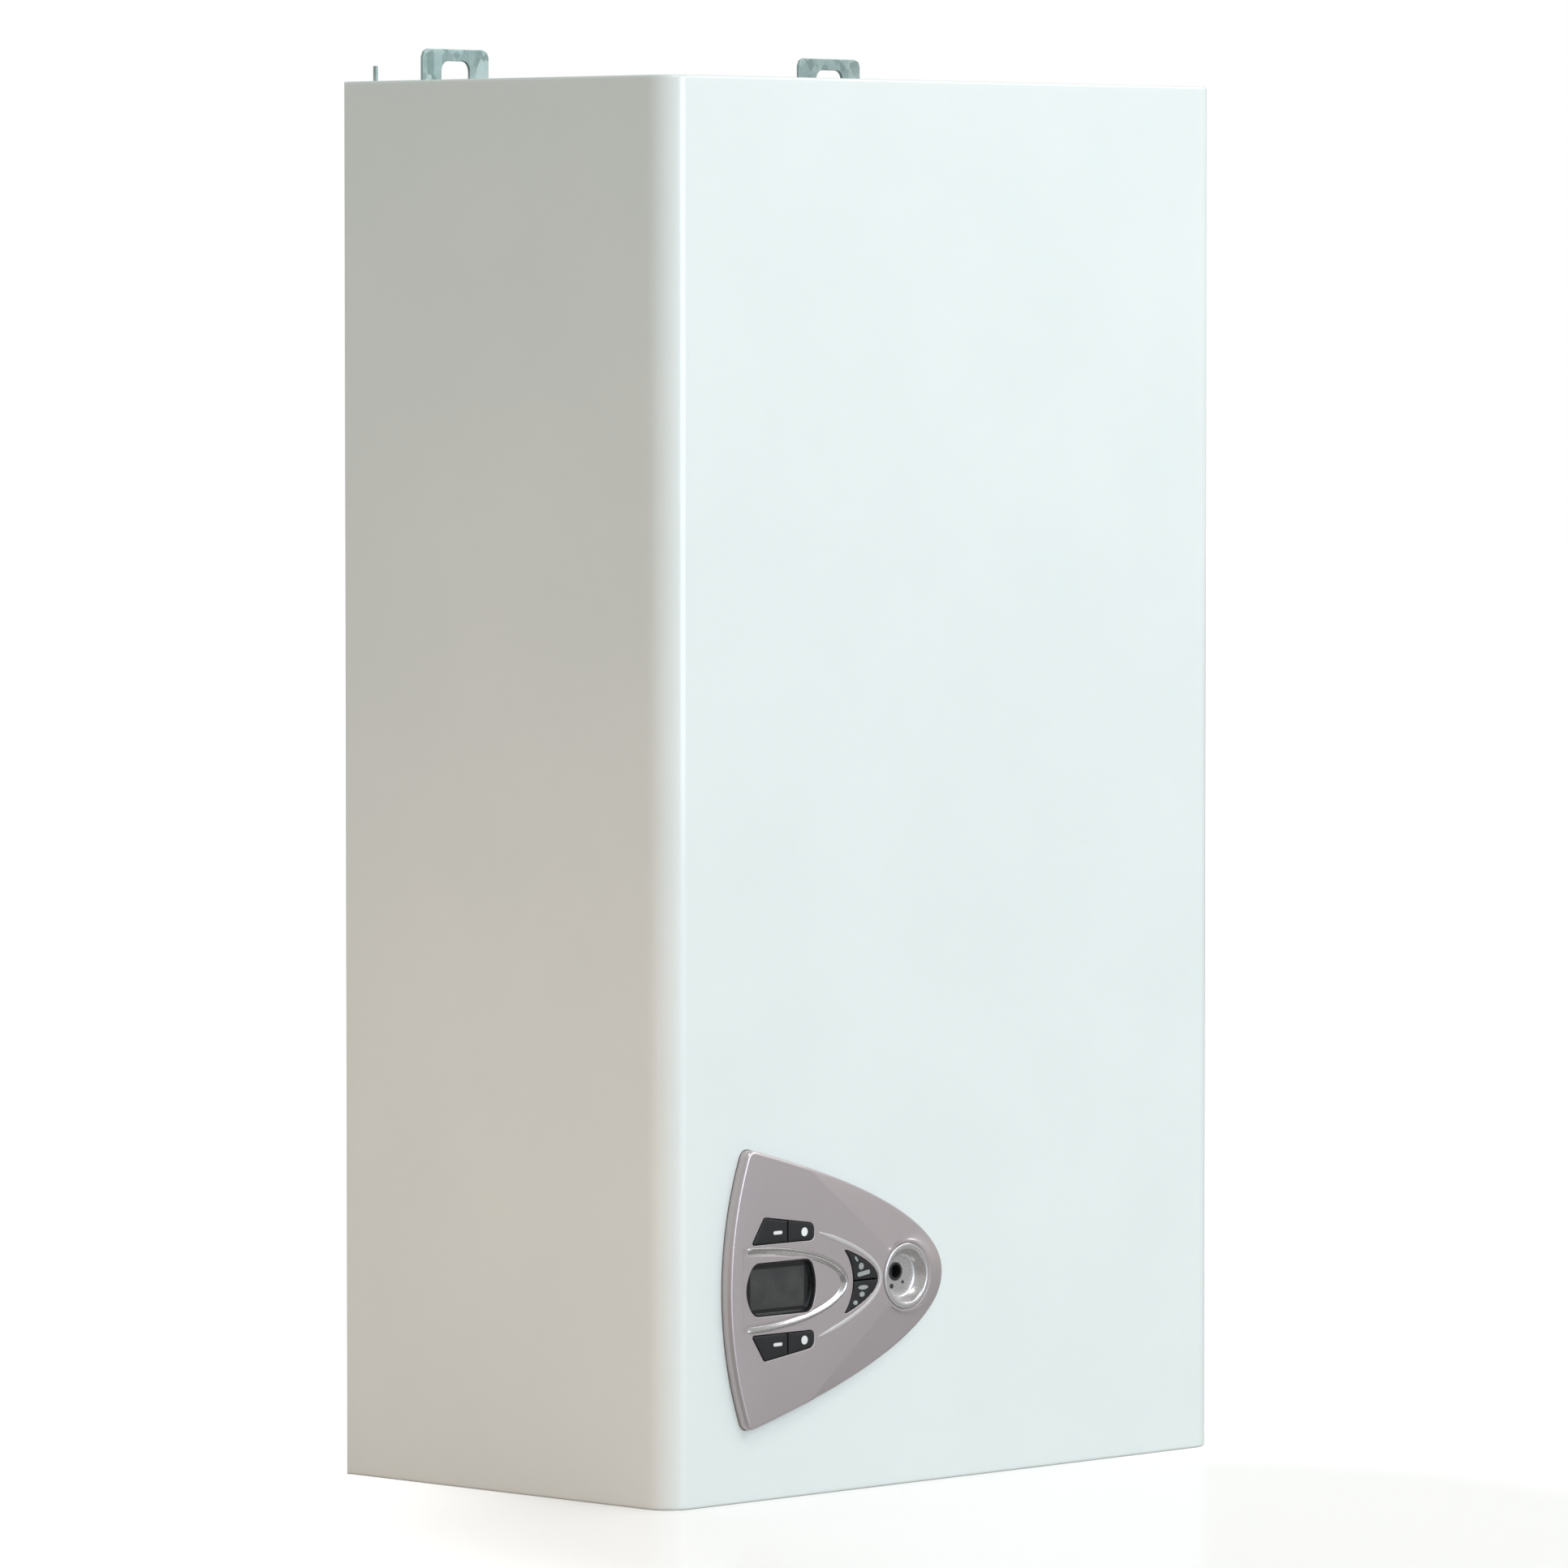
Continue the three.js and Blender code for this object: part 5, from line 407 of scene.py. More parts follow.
class Skin:
    """Patches of one piece: grids of quads and flat fills, welded when the mesh is made."""

    def __init__(self):
        self.points = []
        self.faces = []
        self.count = 0

    def keep(self, points, faces):
        self.points.append(np.asarray(points, float).reshape(-1, 3))
        self.faces.extend((np.asarray(faces) + self.count).tolist())
        self.count += len(self.points[-1])

    def grid(self, points, flip=False):
        """points[row, column] = xyz; a quad joins each four neighbours."""
        rows, columns = points.shape[:2]
        index = np.arange(rows * columns).reshape(rows, columns)
        corners = [index[:-1, :-1], index[1:, :-1], index[1:, 1:], index[:-1, 1:]]
        quads = np.stack(corners, axis=-1).reshape(-1, 4)
        self.keep(points, quads[:, ::-1] if flip else quads)

    def fill(self, loops, facing):
        """The flat area inside the first loop and outside the others: a constrained net of
        triangles, of which those whose middle lies inside an odd number of loops are kept."""
        everything = np.concatenate(loops)
        seen = [axis for axis in range(3) if axis != int(np.argmax(np.abs(facing)))]
        flat = everything[:, seen]
        starts = np.cumsum([0] + [len(loop) for loop in loops]).tolist()
        sides = []
        for first, last in zip(starts, starts[1:]):
            sides += zip(range(first, last), [*range(first + 1, last), first])
        net = delaunay_2d_cdt([Vector(p) for p in flat], sides, [], 0, 1e-6)
        came_from = np.array([ids[0] if ids else -1 for ids in net[3]])
        if (came_from < 0).any():
            print("loops cross at", [tuple(v) for v, ids in zip(net[0], net[3]) if not ids])
        triangles = came_from[np.array(net[2])]
        heart = flat[triangles].mean(axis=1)
        a, b = flat[np.array(sides)[:, 0]], flat[np.array(sides)[:, 1]]
        over = (a[None, :, 1] > heart[:, None, 1]) != (b[None, :, 1] > heart[:, None, 1])
        rise = np.where(b[:, 1] == a[:, 1], 1, b[:, 1] - a[:, 1])
        cross = a[:, 0] + (heart[:, None, 1] - a[:, 1]) / rise * (b[:, 0] - a[:, 0])
        triangles = triangles[np.sum(over & (cross > heart[:, None, 0]), axis=1) % 2 == 1]
        a, b, c = (everything[triangles[:, k]] for k in range(3))
        wrong = np.cross(b - a, c - a) @ np.asarray(facing, float) < 0
        triangles[wrong] = triangles[wrong][:, ::-1]
        self.keep(everything, triangles)

    def block(self, rings, first=(0, 1, 0), last=(0, -1, 0)):
        """Walls through stacked rings; the first and the last ring are filled, facing a way."""
        self.grid(rings)
        self.fill([rings[-1][:-1]], last)
        self.fill([rings[0][:-1]], first)

    def mesh(self, name, outward=True, crease=40):
        """Welds the patches, turns a closed skin's faces outwards and marks its sharp edges."""
        data = bpy.data.meshes.new(name)
        data.from_pydata((np.concatenate(self.points) * MM).tolist(), [], self.faces)
        work = bmesh.new()
        work.from_mesh(data)
        bmesh.ops.remove_doubles(work, verts=work.verts, dist=WELD)
        bmesh.ops.dissolve_degenerate(work, edges=work.edges, dist=WELD)
        if outward:
            bmesh.ops.recalc_face_normals(work, faces=work.faces)
        work.to_mesh(data)
        work.free()
        data.shade_smooth()
        data.set_sharp_from_angle(angle=math.radians(crease))
        return data


def piece(name, shape, slot, body, replaced=(), finish=None):
    """Puts a mesh or a skin in the scene as a piece: it wears the finish given, else the finish of
    its slot, rides on its body and hides the nodes it stands for."""
    data = shape.mesh(name) if isinstance(shape, Skin) else shape
    data.materials.append(finishes[finish or slot])
    made = put(name, data)
    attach(made, body)
    if replaced:
        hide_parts(*replaced)
    return made


def modifier(made, kind, **settings):
    added = made.modifiers.new(kind.lower(), kind)
    for key, value in settings.items():
        setattr(added, key, value)


# %% Loops: offset, rounded corners, even steps
def left_of(ways):
    """Unit vectors a quarter turn left of the given ones."""
    return np.stack([-ways[:, 1], ways[:, 0]], 1) / np.linalg.norm(ways, axis=1)[:, None]


def closed(rings):
    """Rings stacked, each with its first point once more at its end."""
    rings = np.stack(rings)
    return np.concatenate([rings, rings[:, :1]], axis=1)


def offset(loop, distance):
    """Each point of a closed loop moved left of its way, along the bisector of its corner, so
    that both its sides move by the distance. Inwards on a loop that runs counter-clockwise."""
    into = loop - np.roll(loop, 1, axis=0)
    left = left_of(into)
    middle = left + np.roll(left, -1, axis=0)
    reach = np.sum(middle * left, axis=1)[:, None]
    return loop + middle * (distance / np.maximum(reach, 0.25))


def rounded(corners, radii, steps=6):
    """A polygon whose corners are replaced by arcs of the given radii."""
    corners = np.asarray(corners, float)
    radii = np.broadcast_to(radii, len(corners))
    points = []
    share = np.linspace(0, 1, steps + 1)[:, None]
    neighbours = np.roll(corners, 1, 0), np.roll(corners, -1, 0)
    for here, before, after, radius in zip(corners, *neighbours, radii):
        to, fro = before - here, after - here
        to, fro = to / np.linalg.norm(to), fro / np.linalg.norm(fro)
        half = math.acos(np.clip(to @ fro, -1, 1)) / 2
        centre = here + (to + fro) / np.linalg.norm(to + fro) * radius / math.sin(half)
        start, end = here + to * radius / math.tan(half), here + fro * radius / math.tan(half)
        first, last = start - centre, end - centre
        turn = math.pi - 2 * half
        arc = (np.sin((1 - share) * turn) * first + np.sin(share * turn) * last) / math.sin(turn)
        points.append(centre + arc)
    return np.concatenate(points)


def polar(radius, angle, u=0.0, v=0.0):
    """Points at a radius and an angle round (u, v)."""
    return np.stack([u + radius * np.cos(angle), v + radius * np.sin(angle)], -1)


def circle(radius, u=0.0, v=0.0, steps=64):
    return polar(radius, np.linspace(0, 2 * math.pi, steps, endpoint=False), u, v)


def evenly(line, count, closed=False):
    """The same line with its points an equal way apart."""
    line = np.concatenate([line, line[:1]]) if closed else np.asarray(line, float)
    way = np.concatenate([[0], np.cumsum(np.linalg.norm(np.diff(line, axis=0), axis=1))])
    stops = np.linspace(0, way[-1], count + 1)[:-1] if closed else np.linspace(0, way[-1], count)
    return np.stack([np.interp(stops, way, line[:, k]) for k in range(line.shape[1])], 1)


# %% [markdown]
# ## The casing
#
# One sheet of 1 mm steel, folded round two upright bends of 15 mm radius, with a flange turned in
# at the top and bottom and a short return at each rear edge. A box with bevels would give hard
# seams; instead a profile (flange, tight bend, wall, tight bend, flange) is carried along the
# plan, as the folding machine does it. Narrow strips beside each bend hold the flat faces flat
# in the shading. The opening for the panel is a flat fill between a rectangle and its outline.

# %% The panel's outline and its place, shared by the casing and the panel
CASE_HALF, CASE_FRONT, WALL, CASE_TOP = 200.0, -112.0, 118.0, 700.0
PANEL_X, PANEL_Z = -8.0, 105.0
NOSE_TO_TIP, HALF_HEIGHT, LENGTH, TIP_CUT = 141.3, 70.0, 155.4, 4.5


def panel_outline():
    """Seen from the front with the nose at 0: a parabola u = -k v^2 back to two tips that are
    cut round, closed on the left by one large arc. It runs counter-clockwise."""
    spread = NOSE_TO_TIP / HALF_HEIGHT**2
    bulge = LENGTH - NOSE_TO_TIP
    radius = (HALF_HEIGHT**2 + bulge**2) / (2 * bulge)
    centre = radius - LENGTH
    s = np.linspace(-1, 1, 121)
    v = (HALF_HEIGHT - TIP_CUT * 0.3) * (0.5 * s + 0.5 * s**3)
    nose = np.stack([-spread * v * v, v], 1)
    angle = math.asin((HALF_HEIGHT - TIP_CUT) / radius) * np.linspace(1, -1, 61)
    back = np.stack([centre - radius * np.cos(angle), radius * np.sin(angle)], 1)
    t = np.linspace(0, 1, 10)[1:-1, None]
    tip = np.array([-NOSE_TO_TIP, HALF_HEIGHT])
    cut = (1 - t) ** 2 * nose[-1] + 2 * t * (1 - t) * tip + t**2 * back[0]
    return np.concatenate([nose, cut, back, (cut * [1, -1])[::-1]])


def on_panel(loop, depth):
    """Points of the panel's own frame in the boiler's: depth counts from the casing's face."""
    depth = np.broadcast_to(depth, loop.shape[:-1])
    return np.stack([loop[..., 0] + PANEL_X, CASE_FRONT + depth, loop[..., 1] + PANEL_Z], -1)


outline = panel_outline()
print("outline points:", len(outline), "width:", np.ptp(outline[:, 0]).round(1))


# %% Fold the casing
def arc(centre, radius, start, end, steps):
    return polar(radius, np.radians(np.linspace(start, end, steps + 1)), *centre)


BEND, TIGHT, FLANGE, RETURN = 15.0, 1.5, 14.8, 10.0
HOLE = (-172.0, 1.0, 27.0, 183.0)
PANEL_GAP, SHEET = 0.3, 0.001
half = [
    [[-CASE_HALF + RETURN, WALL], [-CASE_HALF + TIGHT + 1, WALL]],
    arc((-CASE_HALF + TIGHT, WALL - TIGHT), TIGHT, 90, 180, 6),
    [[-CASE_HALF, WALL - TIGHT - 1.5], [-CASE_HALF, CASE_FRONT + BEND + 2]],
    arc((-CASE_HALF + BEND, CASE_FRONT + BEND), BEND, 180, 270, 28),
    [[-CASE_HALF + BEND + 2, CASE_FRONT]],
]
half = np.concatenate(half)
middle = np.array([[HOLE[0], CASE_FRONT], [HOLE[1], CASE_FRONT]])
plan = np.concatenate([half, middle, (half * [-1, 1])[::-1]])
normals = left_of(np.gradient(plan, axis=0))
turned_in = (np.abs(plan[:, 0]) > CASE_HALF - 0.01) | (plan[:, 1] < WALL - 10)
edge = arc((TIGHT, TIGHT), TIGHT, 270, 180, 6)
low = np.concatenate([[[FLANGE, 0], [TIGHT + 1.5, 0]], edge, [[0, TIGHT + 1.5], [0, HOLE[2]]]])
high = np.concatenate([[[0, HOLE[3]]], (low[:-1] * [1, -1] + [0, CASE_TOP])[::-1]])
profile = np.concatenate([low, high])
steps_in = profile[:, 0][:, None, None] * normals[None] * turned_in[None, :, None]
heights = np.broadcast_to(profile[:, 1][:, None, None], (len(profile), len(plan), 1))
sheet = np.concatenate([plan[None] + steps_in, heights], axis=-1)
print("casing grid:", sheet.shape)

# %% Cut the opening and make the sheet solid
casing_skin = Skin()
row, column = len(low) - 1, len(half)
casing_skin.grid(sheet[: row + 1], flip=True)
casing_skin.grid(sheet[row + 1 :], flip=True)
casing_skin.grid(sheet[row : row + 2, : column + 1], flip=True)
casing_skin.grid(sheet[row : row + 2, column + 1 :], flip=True)
frame_loop = np.array([[HOLE[a], CASE_FRONT, HOLE[b]] for a, b in ((0, 2), (1, 2), (1, 3), (0, 3))])
opening = on_panel(offset(outline, -PANEL_GAP), 0)
casing_skin.fill([frame_loop, opening], (0, -1, 0))
data = casing_skin.mesh("casing_sheet", outward=False)
casing = piece("casing_sheet", data, "white_paint", "cover", ["casing"])
modifier(casing, "SOLIDIFY", thickness=SHEET, offset=-1, use_even_offset=True)
edges = {"segments": 2, "limit_method": "ANGLE", "harden_normals": True}
modifier(casing, "BEVEL", width=0.0003, angle_limit=0.7, **edges)
print("casing faces:", len(casing.data.polygons))

# %% [markdown]
# ## The silver moulding
#
# On the real boiler this is one thin moulding: a wall that stands out of the casing, a rolled
# edge, a border that rises to a flat land, and openings with softly rounded lips. It could be
# cut from a block with booleans, but the light would break at every cut. Here each opening and
# the outline are carried inwards as rings, so that every edge gets its own small radius, and the
# land between them is one flat fill.

# %% Where the border ends and the land begins
LAND, BACK, REAR, SIDE = -5.4, -3.4, 6.7, 1.8
EDGE_TIP, EDGE_NOSE, SPREAD_FROM, RIM = 2.6, 0.6, 94.5, 18.0
BOWL_U, BOWL_R = -29.6, 16.5


def land_outline(loop, narrow):
    """Where the flat land ends: near the outline at the two tips, then a straight crease towards
    the bowl, then an arc round the bowl's rim."""
    inner = offset(loop, narrow)
    at = np.argmin(np.abs(inner[:, 0] + SPREAD_FROM))
    start = np.array([inner[at, 0], abs(inner[at, 1])])
    turn = 0.75 * math.pi
    goal = polar(RIM, turn, BOWL_U)
    side = np.sign(loop[:, 1])
    t = 1 - np.abs(loop[:, 1]) / (start[1] + narrow)
    k = np.clip(t / 0.6, 0, 1)[:, None]
    straight = start + (goal - start) * k
    angle = turn * (1 - (t - 0.6) / 0.4)
    spread = np.where((t < 0.6)[:, None], straight, polar(RIM, angle, BOWL_U))
    spread = spread * np.stack([np.ones_like(side), side], 1)
    keeps = (inner[:, 0] <= start[0]) | (t <= 0)
    return np.where(keeps[:, None], inner, spread)


# %% [markdown]
# The openings are drawn flat first, seen from the front with the nose at 0. The window has bowed
# ends. Two keys share each four-cornered opening, and a crescent for two more lies at the right.

# %% Outlines of window and keys
WINDOW_LEFT, WINDOW_RIGHT, WINDOW_HALF = -137.6, -98.1, 13
pane = [[WINDOW_RIGHT, -WINDOW_HALF], [WINDOW_RIGHT, WINDOW_HALF]]
pane += [[WINDOW_LEFT, WINDOW_HALF], [WINDOW_LEFT, -WINDOW_HALF]]
corner = evenly(rounded(pane, 2.8), 160, closed=True)
bow = np.interp(corner[:, 0], [WINDOW_LEFT, -118, WINDOW_RIGHT], [-5.7, 0, 3.7])
bow = bow * (1 - (corner[:, 1] / WINDOW_HALF) ** 2)
window_loop = corner + np.stack([bow, 0 * bow], 1)
pair = [[-139.6, 22.5], [-96.2, 22.5], [-96.2, 30.5], [-131, 35.3]]
upper_pair = rounded(pair, [0.8, 2.4, 3.4, 2.0])


def crescent_half(inwards, count=24):
    """The upper half of the crescent: between a parabola and an arc, each moved inwards by the
    same distance, from just over the axis up to the point where the two meet."""
    v = np.linspace(0.3 + inwards, 15.4, 400)
    nose_side = -50.6 - 0.093 * v**2 - inwards * np.hypot(1, 0.186 * v)
    hollow_side = np.sqrt(23.5**2 - v**2) - 91.3 + inwards * 23.5 / np.sqrt(23.5**2 - v**2)
    top = v[np.nonzero(nose_side > hollow_side)[0][-1]]
    stops = np.linspace(0.3 + inwards, top, count)
    outer = np.stack([np.interp(stops, v, nose_side), stops], 1)
    inner = np.stack([np.interp(stops, v, hollow_side), stops], 1)[::-1]
    return np.concatenate([outer, inner])


def down(loop):
    """The mirror image under the panel's axis, still counter-clockwise."""
    return (np.asarray(loop) * [1, -1])[::-1]


lower_pair = down(upper_pair)
halves = crescent_half(0)
crescent = np.concatenate([down(halves)[24:], halves, down(halves)[:24]])
print("window, key and crescent points:", len(window_loop), len(upper_pair), len(crescent))

# %% [markdown]
# Round the window the land dips into a deck that slopes away to the right, with a little plate
# on it. The bright trim stands on the rim of the deck and follows half an ellipse.

# %% Deck and plate
ARCH_START, DECK_START, DECK_LENGTH, DECK_DROP, PLATE_DROP = -142.6, -146.0, 74.6, 1.28, 0.6


def arch(reach, height, steps=96):
    """Half an ellipse from its lower open end round to the upper one, as the bright trim runs."""
    angle = np.linspace(-math.pi / 2, math.pi / 2, steps + 1)
    return np.stack([reach * np.cos(angle) + ARCH_START, height * np.sin(angle)], 1)


def deck_floor(u, drop=DECK_DROP):
    """The deck's floor: level with the land at its left end, 1.3 mm under it at the bend."""
    return LAND + 0.02 + drop * np.clip((u - DECK_START) / DECK_LENGTH, 0, 1)


def plate_top(u):
    return deck_floor(u, PLATE_DROP)


def closed_left(line, end, height):
    """An arch that runs on to the left and is closed by a straight edge there."""
    return np.concatenate([[[end, -height]], line, [[end, height]]])


deck = closed_left(arch(71.15, 21.05), DECK_START, 20.8)
print("deck points:", len(deck))

# %% Carry the outline inwards
land = land_outline(outline, 2.2)
edge_height = EDGE_NOSE + (EDGE_TIP - EDGE_NOSE) * np.clip(-outline[:, 0] / SPREAD_FROM, 0, 1)
border_width = np.linalg.norm(land - outline, axis=1)
ROLL_WIDTH, ROLL_HEIGHT, ROLL_END = 1.2, 1.5, 0.4


def border_ring(share):
    """A ring at a share of the way from the edge to the land. Its height is an elliptic roll
    where the border is narrow; where it is wide, a short roll and then a straight rise."""
    inwards = share * border_width
    roll = 1 - np.clip(1 - inwards / ROLL_WIDTH, 0, 1) ** 2
    climb = np.clip((inwards - ROLL_END) / (border_width - ROLL_END), 0, 1)
    rise = ROLL_HEIGHT * np.sqrt(roll) + (-LAND - ROLL_HEIGHT - edge_height) * climb
    elliptic = (-LAND - edge_height) * math.sqrt(1 - (1 - share) ** 2)
    wide = np.clip((border_width - 2.4) / 5, 0, 1)
    height = edge_height + elliptic * (1 - wide) + rise * wide
    return on_panel(outline + (land - outline) * share, -height)


shares = np.concatenate([[0, 0.02, 0.05, 0.09, 0.14, 0.2, 0.28], np.linspace(0.38, 1, 9)])
rings = [
    on_panel(offset(outline, SIDE), BACK + 4.8),
    on_panel(offset(outline, SIDE), REAR),
    on_panel(offset(outline, 0.4), REAR),
    on_panel(outline, REAR - 0.4),
    on_panel(outline, 0.0),
    *[border_ring(share) for share in shares],
    on_panel(offset(land, 0.25), LAND + 0.02),
    on_panel(offset(land, 0.5), LAND),
]
rings = closed(rings)
print("border from", border_width.min().round(1), "to", border_width.max().round(1), "mm wide")


# %% Lips round the openings
def lip(loop, top, bottom, radius=0.3, steps=5):
    """Rings from the flat face round a quarter circle and down the opening's wall."""
    turn = np.concatenate([[0], np.linspace(0, math.pi / 2, steps + 1), [math.pi / 2]])
    wider = np.concatenate([[radius + 0.1], radius - radius * np.sin(turn[1:-1]), [0.0]])
    made = []
    for width, share in zip(wider, np.concatenate([1 - np.cos(turn[:-1]), [-1]])):
        ring = offset(loop, -width)
        face, floor = (level(ring[:, 0]) if callable(level) else level for level in (top, bottom))
        depth = floor if share < 0 else face + np.minimum(radius, 0.9 * (floor - face)) * share
        made.append(on_panel(ring, depth))
    return closed(made)


KEY_GAP, BOWL_GAP, WINDOW_GAP, DECK_LIP = 0.35, 0.15, 0.25, 0.2
moulding = Skin()
moulding.grid(rings)
holes = {
    "upper keys": (offset(upper_pair, -KEY_GAP), LAND, BACK),
    "lower keys": (offset(lower_pair, -KEY_GAP), LAND, BACK),
    "crescents": (offset(crescent, -KEY_GAP), LAND, BACK),
    "bowl": (circle(BOWL_R + BOWL_GAP, BOWL_U, 0, 96), LAND, BACK),
    "deck": (deck, LAND, deck_floor, DECK_LIP),
    "window": (offset(window_loop, -WINDOW_GAP), plate_top, BACK),
}
lips = {name: lip(*hole) for name, hole in holes.items()}
for made in lips.values():
    moulding.grid(made)
on_land = [name for name in holes if name != "window"]
moulding.fill([rings[-1][:-1]] + [lips[name][0][:-1] for name in on_land], (0, -1, 0))
behind = [name for name in holes if name != "deck"]
inner_edge = on_panel(offset(land, 1.0), BACK)
moulding.grid(np.stack([np.concatenate([inner_edge, inner_edge[:1]]), rings[0]]))
moulding.fill([inner_edge] + [lips[name][-1][:-1] for name in behind], (0, 1, 0))

# %% [markdown]
# Inside the bright trim lies a small raised plate, a half-moon right of the window. Between it
# and the trim runs a groove about a millimetre wide, which only shows as a dark line.

# %% The plate round the window
directions = np.linspace(-math.pi, math.pi, 240, endpoint=False)
MIDDLE = -118.0


def reach_of(loop):
    """How far a loop lies from the window's middle, in each of the directions."""
    fine = evenly(loop, 2000, closed=True) - [MIDDLE, 0]
    angle = np.arctan2(fine[:, 1], fine[:, 0])
    order = np.argsort(angle)
    far = np.linalg.norm(fine, axis=1)
    return np.interp(directions, angle[order], far[order], period=2 * math.pi)


plate_reach = reach_of(closed_left(arch(66.4, 16.9), DECK_START + 0.7, 16.8))
plate_reach = np.maximum(plate_reach, reach_of(offset(window_loop, -1.75)))
plate_loop = polar(plate_reach, directions, MIDDLE)
plate_rings = []
for inwards, share in ((-0.1, 0), (0, 0.4), (0.1, 0.8), (0.3, 1), (0.5, 1)):
    ring = offset(plate_loop, inwards)
    depth = deck_floor(ring[:, 0]) * (1 - share) + plate_top(ring[:, 0]) * share
    plate_rings.append(on_panel(ring, depth))
plate_rings = closed(plate_rings)
moulding.grid(plate_rings)
moulding.fill([lips["deck"][-1][:-1], plate_rings[0][:-1]], (0, -1, 0))
moulding.fill([plate_rings[-1][:-1], lips["window"][0][:-1]], (0, -1, 0))

# %% [markdown]
# Two raised lines run from the upper and lower keys and meet in front of the bowl. They are one
# half-round bead, a tube whose section is an ellipse sunk into the land, thinner at its ends. It
# wears a lighter, less metallic copy of the land's silver: a painted highlight on the whole bead.

# %% The bead
def swept(line, across, depth):
    """A tube along a line on the panel: for each of its stations a row of places, given as the
    distance left of the line and the depth."""
    left = left_of(np.gradient(line, axis=0))
    return on_panel(line[:, None] + across[..., None] * left[:, None], depth)


BEAD_HALF_WIDTH, BEAD_HEIGHT = 1.15, 0.57
bead_v = np.linspace(-26, 26, 91)
bead_line = np.stack([-48.6 - 0.066 * bead_v**2, bead_v], 1)
bead_angle = np.linspace(0, 2 * math.pi, 17)
fade = np.clip(np.minimum(np.arange(91), np.arange(91)[::-1]) / 6, 0.02, 1)[:, None] ** 0.5
bead_across = fade * BEAD_HALF_WIDTH * np.cos(bead_angle)
bead = swept(bead_line, bead_across, LAND - fade * BEAD_HEIGHT * np.sin(bead_angle))
bead_skin = Skin()
bead_skin.block(bead, (0, 0, -1), (0, 0, 1))
# The bead wears the lighter silver, a painted highlight.
piece("bead", bead_skin, "bright_chrome", "boiler", finish="bead_painted_highlight")
panel = piece("panel_moulding", moulding, "silver_plastic", "boiler", ["control_panel"])
print("moulding faces:", len(panel.data.polygons))

# %% [markdown]
# ## The bright trim
#
# A U-shaped band lies round the window. Its outer edge is its crest and it slopes inwards, so its
# lower arm looks up at the lamps and shines, while its upper arm looks down and stays grey. It
# grows wider towards its bend. A section is carried along half an ellipse, and scaled.

# %% Sweep the trim
STATIONS, TRIM_HEIGHT, TRIM_CREST = 121, 1.86, -5.96
trim_line = arch(71, 21, STATIONS - 1)
trim_width = 3.0 + 0.9 * np.cos(np.linspace(-math.pi / 2, math.pi / 2, STATIONS)) ** 2
trim_section = np.array(
    [[0, 0.02], [0, 1.3], [0.03, 1.55], [0.09, 1.75], [0.17, 1.86], [0.27, 1.86], [0.4, 1.7],
     [0.55, 1.38], [0.7, 0.98], [0.83, 0.62], [0.93, 0.38], [0.985, 0.22], [1, 0.02]]
)
trim_section = np.concatenate([evenly(trim_section, 25), trim_section[:1]])
base = deck_floor(trim_line[:, 0]) + 0.03
open_end = np.clip((trim_line[:, 0] - ARCH_START) / 2.5, 0, 1)
growth = (base - TRIM_CREST) / TRIM_HEIGHT * (0.15 + 0.85 * np.sqrt(open_end))
across = trim_section[:, 0] * trim_width[:, None]
trim_points = swept(trim_line, across, base[:, None] - trim_section[:, 1] * growth[:, None])
trim_skin = Skin()
trim_skin.block(trim_points, (-1, 0, 0), (-1, 0, 0))
data = trim_skin.mesh("trim_band", crease=55)
trim = piece("trim_band", data, "bright_chrome", "boiler", ["display_trim"])
print("trim faces:", len(trim.data.polygons))

# %% [markdown]
# ## The window
#
# The window is a tray: a thin black rim with walls that go down to a tinted lens. Seen from the
# left, the right wall of the tray shows as a broad black band, as it does in the photograph.
# Each ring of the tray is the window's outline some way inwards and some way down.


# %% A tray from rings
def stacked(loop, steps):
    """Rings of one loop, each as (how far inwards, how deep)."""
    return closed([on_panel(offset(loop, inwards), depth) for inwards, depth in steps])


rim = [(0, -1.4), (0, -4.6), (0.1, -4.85), (0.35, -4.95), (0.6, -4.9), (0.75, -4.7)]
lens_edge = [(0.9, -2.9), (1.1, -2.6), (1.4, -2.55), (1.6, -2.55)]
tray = Skin()
tray.block(stacked(window_loop, rim + lens_edge))
window = piece("window_tray", tray, "smoked_window", "boiler", ["display_window"])
print("window faces:", len(window.data.polygons))

# %% [markdown]
# ## Keys
#
# Six keys stand 0.4 mm over the land. Each is a cap with a crowned top; two of them
# share one opening. A cap is its outline carried inwards over a rounded edge and a low crown. The
# dash on the minus keys and the grey marks on the crescents are printed, and the plus keys carry a
# white round dot; all of them are thin flat pieces just over the crown.


# %% Cap and marks
def cap(inset):
    """A key's cap: wall, rounded edge, crown. Past the rounded edge the rings shrink to the
    middle, so that no ring crosses itself."""
    steps = [(0.4, -1.6), (0, -1.7), (0, -5.0), (0.06, -5.28), (0.2, -5.5), (0.42, -5.62)]
    loops = [inset(width) for width, depth in steps]
    middle = loops[-1].mean(axis=0)
    shrunk = [middle + (loops[-1] - middle) * share for share in (0.93, 0.8, 0.55, 0.25)]
    depths = [depth for width, depth in steps] + [-5.69, -5.74, -5.78, -5.8]
    made = Skin()
    made.block(closed([on_panel(loop, depth) for loop, depth in zip(loops + shrunk, depths)]))
    return made


def mark(loops, high=-5.84, low=-5.72):
    """A mark on a key: flat faces on low walls, one for each loop."""
    made = Skin()
    for loop in loops:
        made.block(stacked(np.asarray(loop, float), [(0, low), (0, high)]))
    return made


